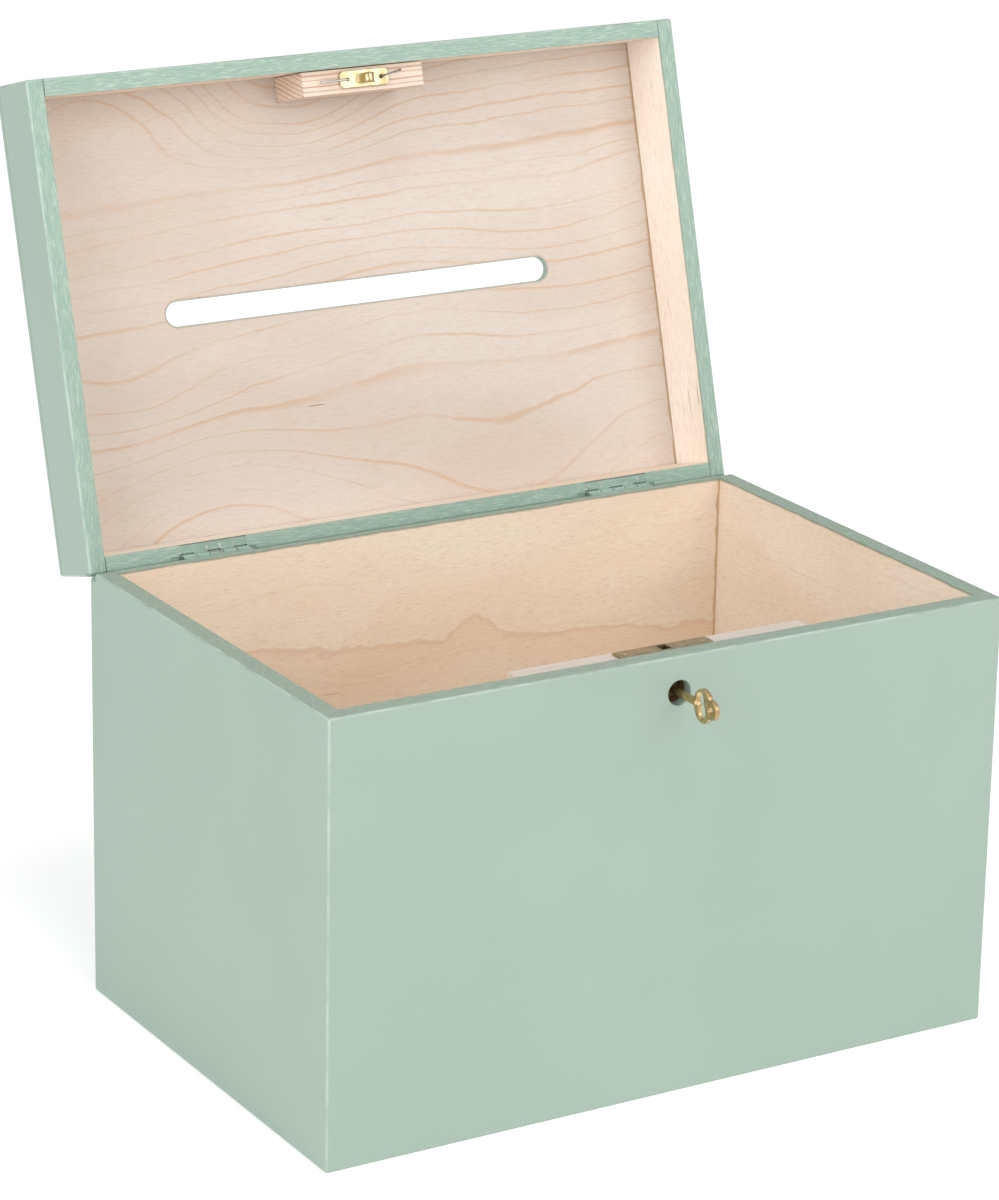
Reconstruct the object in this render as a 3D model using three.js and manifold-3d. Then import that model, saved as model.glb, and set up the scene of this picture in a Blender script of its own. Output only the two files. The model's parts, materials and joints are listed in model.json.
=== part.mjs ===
// A lockable wooden letter box: a plywood body, a shallow hinged lid with a posting slot,
// two small butt hinges, a mortised box lock with a pipe key, and a strike plate in the lid.
// Millimetres, +Z up. The origin is the middle of the underside, and the front faces -Y.
// Everything in the lid is drawn as it lies when the lid is shut, inside a group that the
// hinge pins turn to the open stop.
import * as THREE from 'three';
import { RoundedBoxGeometry } from 'three/addons/geometries/RoundedBoxGeometry.js';
import { mergeVertices } from 'three/addons/utils/BufferGeometryUtils.js';
import Module from 'manifold-3d';

const wasm = await Module();
wasm.setup();

// ---- Driving dimensions ----

// Box
const boxWidth = 300;
const boxDepth = 196;
const bodyHeight = 179;
const wallThickness = 8;
const bottomThickness = 3;
const edgeRadius = 1.2;

// Lid
const lidHeight = 29.6;
const railThickness = 7.2;
const topThickness = 3;
const lidJointGap = 0.3;
const partingGap = 0.4;
const lidBackChamfer = 0.9;
const openAngle = 105.7;

// Posting slot
const slotLength = 180;
const slotWidth = 10;

// Rear chamfer of the body, which the open lid leans on
const rearChamferDepth = 5.5;
const leanClearance = 0.1;

// Hinges
const hingeLength = 30;
const hingeSpacing = 190;
const hingeInset = 1.5;
const hingeDrop = 1.1;
const barrelRadius = 1.6;
const pinRadius = 0.7;
const leafThickness = 0.9;
const leafWidth = 5.3;
const knuckleCount = 5;
const knuckleGap = 0.3;
const pinClearance = 0.25;
const leafSink = 0.1;
const leafClearance = 0.3;
const barrelClearance = 0.4;
const barrelPocketLength = 38;

// Brads that hold the hinge leaves
const bradRadius = 0.5;
const bradHeadRadius = 1.0;
const bradHeadHeight = 0.35;
const bradLength = 6;
const bradSpacing = 17;
const bradFromEdge = 2.4;
const bradClearance = 0.3;

// Lock block and lock
const blockLength = 130;
const blockThickness = 10;
const blockHeight = 32;
const blockDrop = 1.3;
const facePlateLength = 41.4;
const facePlateWidth = 6.6;
const facePlateThickness = 1.1;
const facePlateInset = 0.8;
const lockCaseWidth = 28;
const lockCaseHeight = 25;
const lockSheet = 0.7;
const lockPocketClearance = 0.4;
const lockPinSpacing = 34.2;
const lockPinRadius = 0.6;
const lockPinLength = 12;
const lockPinHeadRadius = 1.0;
const lockPinHeadHeight = 0.35;
const springThickness = 0.4;
const springWidth = 2.6;
const springClearance = 0.7;
const staplePassLength = 4.2;

// Keyhole and key
const keyDrop = 14.8;
const keyholeRadius = 5;
const keyShaftRadius = 1.55;
const keyBoreRadius = 0.95;
const keyPostRadius = 0.65;
const keyStandOff = 10.8;
const keyBitReach = 4.4;
const keyBitThickness = 1.2;
const keyBitLength = 2.2;
const keyClearance = 0.35;
const bowThickness = 2.2;
const bowHalfLength = 5.8;
const bowHalfHeight = 6.85;
const bowEndRadius = 4.1;
const bowEndReach = 5.6;
const bowWindowHalfLength = 1.9;
const bowWindowHalfHeight = 4.1;
const bowEyeRadius = 1.25;

// Bolt
const boltThickness = 1.6;
const boltTravel = 4;
const boltBarHeight = 1.9;
const boltTopGap = 0.5;
const boltHookDepth = 4.6;
const boltTail = 12.2;
const boltTalonStart = 2;
const boltTalonLength = 6;
const boltHeelLength = 3;
const boltClearance = 0.4;

// Strike
const strikeBlockLength = 56;
const strikeBlockThickness = 10;
const strikeBlockDrop = 2.2;
const strikePlateLength = 22.4;
const strikePlateWidth = 6.8;
const strikePlateThickness = 0.8;
const strikePlateCorner = 1.2;
const tongueWidth = 4.2;
const tongueThickness = 0.9;
const tongueOffset = -0.5;
const tongueBar = 0.9;
const tongueClearance = 0.4;
const tongueEyeWidth = 2.6;
const tongueEyeClearance = 0.3;
const strikeWindowLength = 4.6;
const strikeNailSpacing = 15.6;
const strikeNailRadius = 0.5;
const strikeNailHeadRadius = 0.75;
const strikeNailHeadHeight = 0.4;
const strikeNailDepth = 5;
const strikeNailStand = 0.75;
const strikeNailReaches = [12.3, 8.9];
const strikeNailSwings = [0.2, -1.9];
const strikeNailClearance = 0.4;

// How far a cutting solid runs past the face that it cuts
const overcut = 1;

// ---- Derived places ----

const halfWidth = boxWidth / 2;
const halfDepth = boxDepth / 2;
const frontInside = -halfDepth + wallThickness;
const backInside = halfDepth - wallThickness;
const sideInside = halfWidth - wallThickness;
const lidBottom = bodyHeight + partingGap;
const lidTop = lidBottom + lidHeight;
const railTop = lidTop - topThickness - lidJointGap;
const railInside = halfWidth - railThickness;
const hingeY = halfDepth - hingeInset;
const hingeZ = bodyHeight - hingeDrop;
const keyZ = bodyHeight - keyDrop;
const openRadians = THREE.MathUtils.degToRad(openAngle);
const lidCornerRise = hingeDrop + partingGap + lidBackChamfer;
const openCornerDrop = hingeInset * Math.sin(openRadians) - lidCornerRise * Math.cos(openRadians);
const rearChamferHeight = hingeDrop + openCornerDrop + leanClearance;
const blockTop = bodyHeight - blockDrop;
const facePlateFront = frontInside + facePlateInset;
const facePlateMiddle = facePlateFront + facePlateWidth / 2;
const facePlateBottom = blockTop;
const facePlateTop = facePlateBottom + facePlateThickness;
const staplePassWidth = tongueWidth + 2 * tongueClearance;
const lockCaseDepth = tongueWidth + 2 * (tongueClearance + lockSheet);
const caseFront = facePlateMiddle - lockCaseDepth / 2;
const caseBack = caseFront + lockCaseDepth;
const caseBottom = facePlateBottom - lockCaseHeight;
const boltTop = facePlateBottom - boltTopGap;
const boltBarBottom = boltTop - boltBarHeight;
const strikeFace = lidBottom + strikeBlockDrop;
const strikePlateTop = strikeFace - lidJointGap;
const strikePlateBottom = strikePlateTop - strikePlateThickness;
const strikeMiddle = facePlateMiddle;
const tongueEyeTop = boltTop + tongueEyeClearance;
const tongueEyeBottom = boltBarBottom - tongueEyeClearance;
const tongueTip = tongueEyeBottom - tongueBar;

// ---- Colours and finishes ----

function finish(color, roughness, metalness) {
  return new THREE.MeshStandardMaterial({ color, roughness, metalness });
}
const mintPaint = () => finish(0xb3cbbc, 0.6, 0);
const birchPly = () => finish(0xe8d5ba, 0.75, 0);
const pineWood = () => finish(0xe2c3a0, 0.8, 0);
const brass = () => finish(0xc6a35c, 0.35, 1);
const dullBrass = () => finish(0x9c8457, 0.5, 1);
const paintedSteel = () => finish(0xa9c4b4, 0.5, 0);
const brightSteel = () => finish(0xb9bcc0, 0.3, 1);

// ---- Solids ----

function toSolid(geometry) {
  const plain = geometry.clone();
  plain.deleteAttribute('normal');
  plain.deleteAttribute('uv');
  const merged = mergeVertices(plain, 1e-4);
  return new wasm.Manifold(new wasm.Mesh({
    numProp: 3,
    vertProperties: new Float32Array(merged.attributes.position.array),
    triVerts: new Uint32Array(merged.index.array),
  }));
}

function toGeometry(solid) {
  const mesh = solid.getMesh();
  const geometry = new THREE.BufferGeometry();
  geometry.setAttribute('position', new THREE.BufferAttribute(mesh.vertProperties, 3));
  geometry.setIndex(new THREE.BufferAttribute(mesh.triVerts, 1));
  geometry.computeVertexNormals();
  return geometry;
}

function slab(x0, x1, y0, y1, z0, z1) {
  const geometry = new THREE.BoxGeometry(x1 - x0, y1 - y0, z1 - z0);
  geometry.translate((x0 + x1) / 2, (y0 + y1) / 2, (z0 + z1) / 2);
  return toSolid(geometry);
}

function softBox(x0, x1, y0, y1, z0, z1) {
  const geometry = new RoundedBoxGeometry(x1 - x0, y1 - y0, z1 - z0, 3, edgeRadius);
  geometry.translate((x0 + x1) / 2, (y0 + y1) / 2, (z0 + z1) / 2);
  return toSolid(geometry);
}

// Round bars along one axis, from one end to the other.
function barX(radius, x0, x1, y, z, sides = 20) {
  const geometry = new THREE.CylinderGeometry(radius, radius, x1 - x0, sides);
  geometry.rotateZ(Math.PI / 2);
  geometry.translate((x0 + x1) / 2, y, z);
  return toSolid(geometry);
}

function barY(radius, x, y0, y1, z, sides = 24) {
  const geometry = new THREE.CylinderGeometry(radius, radius, y1 - y0, sides);
  geometry.translate(x, (y0 + y1) / 2, z);
  return toSolid(geometry);
}

function barZ(radius, x, y, z0, z1, sides = 12) {
  const geometry = new THREE.CylinderGeometry(radius, radius, z1 - z0, sides);
  geometry.rotateX(Math.PI / 2);
  geometry.translate(x, y, (z0 + z1) / 2);
  return toSolid(geometry);
}

function thicken(shape, depth) {
  return new THREE.ExtrudeGeometry(shape, { depth, bevelEnabled: false, curveSegments: 16 });
}

// An outline in the X-Z plane, given its thickness along Y.
function plateXZ(shape, y0, y1) {
  const geometry = thicken(shape, y1 - y0);
  geometry.applyMatrix4(new THREE.Matrix4().makeBasis(
    new THREE.Vector3(1, 0, 0),
    new THREE.Vector3(0, 0, 1),
    new THREE.Vector3(0, -1, 0),
  ));
  geometry.translate(0, y1, 0);
  return toSolid(geometry);
}

// An outline in the Y-Z plane, given its thickness along X.
function plateYZ(shape, x0, x1) {
  const geometry = thicken(shape, x1 - x0);
  geometry.applyMatrix4(new THREE.Matrix4().makeBasis(
    new THREE.Vector3(0, 1, 0),
    new THREE.Vector3(0, 0, 1),
    new THREE.Vector3(1, 0, 0),
  ));
  geometry.translate(x0, 0, 0);
  return toSolid(geometry);
}

// An outline in the X-Y plane, given its thickness along Z.
function plateXY(shape, z0, z1) {
  const geometry = thicken(shape, z1 - z0);
  geometry.translate(0, 0, z0);
  return toSolid(geometry);
}

function outline(points) {
  return new THREE.Shape(points.map(([u, v]) => new THREE.Vector2(u, v)));
}

function addPiece(group, name, solid, material) {
  const mesh = new THREE.Mesh(toGeometry(solid), material);
  mesh.name = name;
  group.add(mesh);
}

// ---- Hinge fittings shared by the body and the lid ----

const hingeMiddles = [-hingeSpacing / 2, hingeSpacing / 2];
const leafBack = hingeY;
const leafFront = hingeY - leafWidth;
const bradY = leafFront + bradFromEdge;
const bodyLeafTop = bodyHeight - leafSink;
const lidLeafBottom = lidBottom + leafSink;
const knucklePitch = hingeLength / knuckleCount;

function bradPlaces(middle) {
  return [middle - bradSpacing / 2, middle + bradSpacing / 2];
}

// Room for the barrels, turned about the pin so that it clears both leaves at any angle.
function barrelRoom(middle) {
  const half = barrelPocketLength / 2;
  return barX(barrelRadius + barrelClearance, middle - half, middle + half, hingeY, hingeZ, 28);
}

// Room for one leaf, open at the back edge of the wood.
function leafRoom(middle, z0, z1) {
  const half = hingeLength / 2 + leafClearance;
  return slab(middle - half, middle + half, leafFront - leafClearance, halfDepth + overcut, z0, z1);
}

// ---- Body ----

function bodyForm() {
  const slope = rearChamferHeight / rearChamferDepth;
  const chamfer = outline([
    [halfDepth - rearChamferDepth, bodyHeight],
    [halfDepth + overcut, bodyHeight - rearChamferHeight - overcut * slope],
    [halfDepth + overcut, bodyHeight + overcut],
    [halfDepth - rearChamferDepth, bodyHeight + overcut],
  ]);
  return softBox(-halfWidth, halfWidth, -halfDepth, halfDepth, 0, bodyHeight)
    .subtract(plateYZ(chamfer, -halfWidth - overcut, halfWidth + overcut));
}

const boxForm = bodyForm();
const wallBottom = bottomThickness;

function wall(x0, x1, y0, y1) {
  return slab(x0, x1, y0, y1, wallBottom, bodyHeight).intersect(boxForm);
}

function frontWall() {
  return wall(-sideInside, sideInside, -halfDepth, frontInside)
    .subtract(barY(keyholeRadius, 0, -halfDepth - overcut, frontInside + overcut, keyZ, 48));
}

function backWall() {
  let solid = wall(-sideInside, sideInside, backInside, halfDepth);
  for (const middle of hingeMiddles) {
    solid = solid.subtract(barrelRoom(middle));
    const leafSeat = bodyLeafTop - leafThickness - leafClearance;
    solid = solid.subtract(leafRoom(middle, leafSeat, bodyHeight + overcut));
    for (const x of bradPlaces(middle)) {
      const foot = bodyLeafTop - bradLength - bradClearance;
      solid = solid.subtract(barZ(bradRadius + bradClearance, x, bradY, foot, bodyHeight + overcut));
    }
  }
  return solid;
}

function bottomPanel() {
  return slab(-halfWidth, halfWidth, -halfDepth, halfDepth, 0, bottomThickness).intersect(boxForm);
}

// The wood behind the front wall that carries the lock, with a pocket open to the wall.
function lockBlock() {
  const back = frontInside + blockThickness;
  const half = lockCaseWidth / 2 + lockPocketClearance;
  let solid = slab(-blockLength / 2, blockLength / 2, frontInside, back, blockTop - blockHeight, blockTop);
  solid = solid.subtract(slab(-half, half, frontInside - overcut, caseBack + lockPocketClearance,
    caseBottom - lockPocketClearance, blockTop + overcut));
  for (const side of [-1, 1]) {
    solid = solid.subtract(barZ(lockPinRadius + bradClearance, side * lockPinSpacing / 2, facePlateMiddle,
      facePlateTop - lockPinLength - bradClearance, blockTop + overcut));
  }
  return solid;
}

// ---- Hinges ----

function knuckles(middle, parity) {
  let solid = null;
  for (let i = 0; i < knuckleCount; i += 1) {
    if (i % 2 === parity) {
      const start = middle - hingeLength / 2 + i * knucklePitch + knuckleGap / 2;
      const end = start + knucklePitch - knuckleGap;
      const bar = barX(barrelRadius, start, end, hingeY, hingeZ);
      solid = solid ? solid.add(bar) : bar;
    }
  }
  return solid;
}

function leaf(middle, parity, z0, z1, countersinkTop) {
  const half = hingeLength / 2;
  let solid = slab(middle - half, middle + half, leafFront, leafBack, z0, z1);
  for (let i = 0; i < knuckleCount; i += 1) {
    if (i % 2 !== parity) {
      const start = middle - half + i * knucklePitch;
      solid = solid.subtract(slab(start - knuckleGap / 2, start + knucklePitch + knuckleGap / 2,
        hingeY - barrelRadius - barrelClearance, halfDepth + overcut, z0 - overcut, z1 + overcut));
    } else {
      const start = middle - half + i * knucklePitch + knuckleGap / 2;
      solid = solid.add(slab(start, start + knucklePitch - knuckleGap,
        hingeY - barrelRadius, hingeY, Math.min(z0, hingeZ), Math.max(z1, hingeZ)));
    }
  }
  solid = solid.add(knuckles(middle, parity));
  const pinRoom = barX(pinRadius + pinClearance, middle - half - overcut, middle + half + overcut,
    hingeY, hingeZ);
  solid = solid.subtract(pinRoom);
  for (const x of bradPlaces(middle)) {
    solid = solid.subtract(barZ(bradRadius + bradClearance, x, bradY, z0 - overcut, z1 + overcut));
    const sink = bradHeadHeight + leafSink;
    const from = countersinkTop ? z1 - sink : z0 - overcut;
    const to = countersinkTop ? z1 + overcut : z0 + sink;
    solid = solid.subtract(barZ(bradHeadRadius + bradClearance, x, bradY, from, to));
  }
  return solid;
}

function brad(x, headZ, direction) {
  const foot = headZ - direction * bradLength;
  const neck = headZ - direction * bradHeadHeight;
  const shank = barZ(bradRadius, x, bradY, Math.min(foot, headZ), Math.max(foot, headZ));
  return shank.add(barZ(bradHeadRadius, x, bradY, Math.min(neck, headZ), Math.max(neck, headZ)));
}

// ---- Lock ----

// Face plate and the case behind it, folded from one sheet, open at the back.
function lockCase() {
  const half = lockCaseWidth / 2;
  let solid = slab(-facePlateLength / 2, facePlateLength / 2, facePlateFront,
    facePlateFront + facePlateWidth, facePlateBottom, facePlateTop);
  solid = solid.add(slab(-half, half, caseFront, caseBack - lockSheet, caseBottom, facePlateBottom));
  solid = solid.subtract(slab(-half + lockSheet, half - lockSheet, caseFront + lockSheet,
    caseBack + overcut, caseBottom + lockSheet, facePlateBottom));
  solid = solid.subtract(slab(-staplePassLength / 2, staplePassLength / 2,
    facePlateMiddle - staplePassWidth / 2, facePlateMiddle + staplePassWidth / 2,
    facePlateBottom - overcut, facePlateTop + overcut));
  const outside = caseFront - overcut;
  const inside = caseFront + lockSheet + overcut;
  const bitHalf = keyBitThickness / 2 + keyClearance;
  solid = solid.subtract(barY(keyShaftRadius + keyClearance, 0, outside, inside, keyZ));
  solid = solid.subtract(slab(-bitHalf, bitHalf, outside, inside,
    keyZ - keyBitReach - keyClearance, keyZ));
  for (const side of [-1, 1]) {
    const x = side * lockPinSpacing / 2;
    solid = solid.subtract(barZ(lockPinRadius + bradClearance, x, facePlateMiddle,
      facePlateBottom - overcut, facePlateTop + overcut));
    solid = solid.subtract(barZ(lockPinHeadRadius + bradClearance, x, facePlateMiddle,
      facePlateTop - lockPinHeadHeight - leafSink, facePlateTop + overcut));
  }
  return solid;
}

function lockCap() {
  const half = lockCaseWidth / 2;
  return slab(-half, half, caseBack - lockSheet, caseBack, caseBottom, facePlateBottom);
}

function lockPost() {
  return barY(keyPostRadius, 0, caseFront + lockSheet, caseBack - lockSheet, keyZ, 16);
}

// A headed pin through the face plate into the block.
function lockPin(x) {
  const top = facePlateTop - leafSink;
  return barZ(lockPinRadius, x, facePlateMiddle, facePlateTop - lockPinLength, top)
    .add(barZ(lockPinHeadRadius, x, facePlateMiddle, top - lockPinHeadHeight, top));
}

// A hooked slide: the bar above passes through the tongue, the key turns in the talon below.
function lockBolt() {
  const nose = tongueOffset + boltTravel / 2;
  const hookTop = tongueTip - boltClearance;
  const plateBottom = keyZ + keyShaftRadius + boltClearance * 2;
  const talonTop = keyZ + keyBitReach + boltClearance;
  const talonEnd = boltTalonStart + boltTalonLength;
  const shape = outline([
    [nose, boltBarBottom],
    [nose + boltHookDepth, boltBarBottom],
    [nose + boltHookDepth, hookTop],
    [boltTalonStart - boltHeelLength, hookTop],
    [boltTalonStart - boltHeelLength, plateBottom],
    [boltTalonStart, plateBottom],
    [boltTalonStart, talonTop],
    [talonEnd, talonTop],
    [talonEnd, plateBottom],
    [boltTail, plateBottom],
    [boltTail, boltTop],
    [nose, boltTop],
  ]);
  return plateXZ(shape, facePlateMiddle - boltThickness / 2, facePlateMiddle + boltThickness / 2);
}

// A bowed strip, fixed at the left end of the case. Its free end waits where the bolt's heel
// stops at full throw.
function lockSpring() {
  const strip = springThickness / 2;
  const left = -lockCaseWidth / 2 + lockSheet + springClearance;
  const right = boltTalonStart - boltHeelLength - boltTravel - boltClearance;
  const high = facePlateBottom - springThickness;
  const low = tongueTip - boltClearance + springThickness;
  const path = new THREE.CatmullRomCurve3([
    new THREE.Vector3(left, facePlateMiddle, high - (high - low) * 0.7),
    new THREE.Vector3(left + (right - left) * 0.35, facePlateMiddle, high - (high - low) * 0.35),
    new THREE.Vector3(left + (right - left) * 0.7, facePlateMiddle, low + (high - low) * 0.2),
    new THREE.Vector3(right, facePlateMiddle, low),
  ]);
  const section = outline([
    [-strip, -springWidth / 2],
    [strip, -springWidth / 2],
    [strip, springWidth / 2],
    [-strip, springWidth / 2],
  ]);
  return toSolid(new THREE.ExtrudeGeometry(section, { steps: 12, extrudePath: path, bevelEnabled: false }));
}

// ---- Key ----

// The bow lies in the Y-Z plane: an oval with a rounded end lobe, a long window and an eye.
function keyBow() {
  const bowY = -halfDepth - keyStandOff - bowHalfLength;
  const endY = bowY - bowEndReach;
  const oval = new THREE.Shape();
  oval.absellipse(bowY, keyZ, bowHalfLength, bowHalfHeight, 0, Math.PI * 2, false, 0);
  const lobe = new THREE.Shape();
  lobe.absarc(endY, keyZ, bowEndRadius, 0, Math.PI * 2, false);
  const window = new THREE.Shape();
  window.absellipse(bowY + bowWindowHalfLength / 4, keyZ, bowWindowHalfLength, bowWindowHalfHeight,
    0, Math.PI * 2, false, 0);
  const eye = new THREE.Shape();
  eye.absarc(endY, keyZ, bowEyeRadius, 0, Math.PI * 2, false);
  const half = bowThickness / 2;
  return plateYZ(oval, -half, half)
    .add(plateYZ(lobe, -half, half))
    .subtract(plateYZ(window, -half - overcut, half + overcut))
    .subtract(plateYZ(eye, -half - overcut, half + overcut));
}

function key() {
  const bowFront = -halfDepth - keyStandOff;
  const tip = facePlateMiddle + keyBitLength / 2 + boltClearance;
  const neck = bowFront - (bowHalfLength - bowWindowHalfLength) / 2;
  return keyBow()
    .add(barY(keyShaftRadius, 0, neck, tip, keyZ))
    .add(slab(-keyBitThickness / 2, keyBitThickness / 2, facePlateMiddle - keyBitLength / 2,
      facePlateMiddle + keyBitLength / 2, keyZ - keyBitReach, keyZ))
    .subtract(barY(keyBoreRadius, 0, caseFront, tip + overcut, keyZ, 16));
}

// ---- Lid ----

function lidForm() {
  const chamfer = outline([
    [halfDepth - lidBackChamfer, lidBottom],
    [halfDepth + overcut, lidBottom + lidBackChamfer + overcut],
    [halfDepth + overcut, lidBottom - overcut],
    [halfDepth - lidBackChamfer - overcut, lidBottom - overcut],
  ]);
  return softBox(-halfWidth, halfWidth, -halfDepth, halfDepth, lidBottom, lidTop)
    .subtract(plateYZ(chamfer, -halfWidth - overcut, halfWidth + overcut));
}

const lidShape = lidForm();

function rail(x0, x1, y0, y1) {
  return slab(x0, x1, y0, y1, lidBottom, railTop).intersect(lidShape);
}

function lidFrontRail() {
  const end = railInside - lidJointGap;
  return rail(-end, end, -halfDepth, -halfDepth + railThickness);
}

function lidBackRail() {
  const end = railInside - lidJointGap;
  let solid = rail(-end, end, halfDepth - railThickness, halfDepth);
  for (const middle of hingeMiddles) {
    solid = solid.subtract(barrelRoom(middle));
    const leafSeat = lidLeafBottom + leafThickness + leafClearance;
    solid = solid.subtract(leafRoom(middle, lidBottom - overcut, leafSeat));
    for (const x of bradPlaces(middle)) {
      const foot = lidLeafBottom + bradLength + bradClearance;
      solid = solid.subtract(barZ(bradRadius + bradClearance, x, bradY, lidBottom - overcut, foot));
    }
  }
  return solid;
}

// The posting slot has rounded ends.
function slotOutline() {
  const shape = new THREE.Shape();
  const reach = slotLength / 2 - slotWidth / 2;
  shape.absarc(reach, 0, slotWidth / 2, -Math.PI / 2, Math.PI / 2, false);
  shape.absarc(-reach, 0, slotWidth / 2, Math.PI / 2, Math.PI * 1.5, false);
  return shape;
}

function lidTopPanel() {
  return slab(-halfWidth, halfWidth, -halfDepth, halfDepth, railTop + lidJointGap, lidTop)
    .intersect(lidShape)
    .subtract(plateXY(slotOutline(), railTop - overcut, lidTop + overcut));
}

function strikeBlock() {
  const front = -halfDepth + railThickness + lidJointGap;
  const half = strikeBlockLength / 2;
  let solid = slab(-half, half, front, front + strikeBlockThickness, strikeFace, railTop);
  for (const side of [-1, 1]) {
    solid = solid.subtract(barZ(strikeNailRadius + strikeNailClearance, side * strikeNailSpacing / 2,
      strikeMiddle, strikeFace - overcut, strikeFace + strikeNailDepth + strikeNailClearance));
  }
  return solid;
}

// The plate, with a tongue folded down beside the window that it was cut from.
function strikePlate() {
  const halfLength = strikePlateLength / 2;
  const halfPlate = strikePlateWidth / 2;
  const corner = strikePlateCorner;
  const shape = outline([
    [-halfLength + corner, strikeMiddle - halfPlate],
    [halfLength - corner, strikeMiddle - halfPlate],
    [halfLength, strikeMiddle - halfPlate + corner],
    [halfLength, strikeMiddle + halfPlate - corner],
    [halfLength - corner, strikeMiddle + halfPlate],
    [-halfLength + corner, strikeMiddle + halfPlate],
    [-halfLength, strikeMiddle + halfPlate - corner],
    [-halfLength, strikeMiddle - halfPlate + corner],
  ]);
  const tongueLeft = tongueOffset - tongueThickness / 2;
  const tongueRight = tongueOffset + tongueThickness / 2;
  const tongueHalf = tongueWidth / 2;
  const eyeHalf = tongueEyeWidth / 2;
  let solid = plateXY(shape, strikePlateBottom, strikePlateTop)
    .subtract(slab(tongueRight, tongueRight + strikeWindowLength, strikeMiddle - tongueHalf,
      strikeMiddle + tongueHalf, strikePlateBottom - overcut, strikePlateTop + overcut))
    .add(slab(tongueLeft, tongueRight, strikeMiddle - tongueHalf, strikeMiddle + tongueHalf,
      tongueTip, strikePlateTop))
    .subtract(slab(tongueLeft - overcut, tongueRight + overcut,
      strikeMiddle - eyeHalf, strikeMiddle + eyeHalf, tongueEyeBottom, tongueEyeTop));
  for (const side of [-1, 1]) {
    solid = solid.subtract(barZ(strikeNailRadius + strikeNailClearance, side * strikeNailSpacing / 2,
      strikeMiddle, strikePlateBottom - overcut, strikePlateTop + overcut));
  }
  return solid;
}

// A wire nail through the plate, bent flat outwards, head at the far end.
function strikeNail(side, reach, swing) {
  const x = side * strikeNailSpacing / 2;
  const low = strikePlateBottom - strikeNailStand;
  const path = new THREE.CatmullRomCurve3([
    new THREE.Vector3(x, strikeMiddle, strikeFace + strikeNailDepth),
    new THREE.Vector3(x, strikeMiddle, strikePlateTop),
    new THREE.Vector3(x + side * 0.1, strikeMiddle, low + strikeNailStand * 0.5),
    new THREE.Vector3(x + side * strikeNailStand, strikeMiddle + swing * 0.06, low),
    new THREE.Vector3(x + side * reach, strikeMiddle + swing, low),
  ], false, 'centripetal');
  const section = new THREE.Shape();
  section.absarc(0, 0, strikeNailRadius, 0, Math.PI * 2, false);
  const shank = new THREE.ExtrudeGeometry(section, {
    steps: 24, extrudePath: path, bevelEnabled: false, curveSegments: 5,
  });
  const along = new THREE.Vector3(side * reach, swing, 0).normalize();
  const headRadius = strikeNailHeadRadius;
  const head = new THREE.CylinderGeometry(headRadius, headRadius, strikeNailHeadHeight, 12);
  head.applyQuaternion(new THREE.Quaternion().setFromUnitVectors(new THREE.Vector3(0, 1, 0), along));
  head.translate(x + side * reach, strikeMiddle + swing, low);
  return toSolid(shank).add(toSolid(head));
}

// ---- Assembly ----

const group = new THREE.Group();

addPiece(group, 'bottom_panel', bottomPanel(), mintPaint());
addPiece(group, 'front_wall', frontWall(), mintPaint());
addPiece(group, 'back_wall', backWall(), mintPaint());
addPiece(group, 'left_wall', wall(-halfWidth, -sideInside, -halfDepth, halfDepth), mintPaint());
addPiece(group, 'right_wall', wall(sideInside, halfWidth, -halfDepth, halfDepth), mintPaint());
addPiece(group, 'lock_block', lockBlock(), birchPly());

addPiece(group, 'lock_case', lockCase(), dullBrass());
addPiece(group, 'lock_cap', lockCap(), dullBrass());
addPiece(group, 'lock_post', lockPost(), brightSteel());
addPiece(group, 'lock_bolt', lockBolt(), brass());
addPiece(group, 'lock_spring', lockSpring(), brightSteel());
addPiece(group, 'key', key(), brass());

// The lid's own frame is turned about the hinge pins to the open stop.
const lidPivot = new THREE.Group();
lidPivot.position.set(0, hingeY, hingeZ);
lidPivot.rotation.x = -openRadians;
const lid = new THREE.Group();
lid.position.set(0, -hingeY, -hingeZ);
lidPivot.add(lid);
group.add(lidPivot);

addPiece(lid, 'lid_top_panel', lidTopPanel(), mintPaint());
addPiece(lid, 'lid_front_rail', lidFrontRail(), mintPaint());
addPiece(lid, 'lid_back_rail', lidBackRail(), mintPaint());
addPiece(lid, 'lid_left_rail', rail(-halfWidth, -railInside, -halfDepth, halfDepth), mintPaint());
addPiece(lid, 'lid_right_rail', rail(railInside, halfWidth, -halfDepth, halfDepth), mintPaint());
addPiece(lid, 'strike_block', strikeBlock(), pineWood());
addPiece(lid, 'strike_plate', strikePlate(), brass());

['left', 'right'].forEach((sideName, index) => {
  const side = index * 2 - 1;
  const middle = hingeMiddles[index];
  const half = hingeLength / 2;
  addPiece(group, `lock_pin_${sideName}`, lockPin(side * lockPinSpacing / 2), brass());
  addPiece(lid, `strike_nail_${sideName}`,
    strikeNail(side, strikeNailReaches[index], strikeNailSwings[index]), brightSteel());
  addPiece(group, `hinge_${sideName}_body_leaf`,
    leaf(middle, 0, bodyLeafTop - leafThickness, bodyLeafTop, true), paintedSteel());
  addPiece(lid, `hinge_${sideName}_lid_leaf`,
    leaf(middle, 1, lidLeafBottom, lidLeafBottom + leafThickness, false), paintedSteel());
  addPiece(group, `hinge_${sideName}_pin`,
    barX(pinRadius, middle - half, middle + half, hingeY, hingeZ), brightSteel());
  bradPlaces(middle).forEach((x, number) => {
    const bodyBrad = brad(x, bodyLeafTop - leafSink, 1);
    const lidBrad = brad(x, lidLeafBottom + leafSink, -1);
    addPiece(group, `hinge_${sideName}_body_brad_${number + 1}`, bodyBrad, brightSteel());
    addPiece(lid, `hinge_${sideName}_lid_brad_${number + 1}`, lidBrad, brightSteel());
  });
});

export default group;
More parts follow.
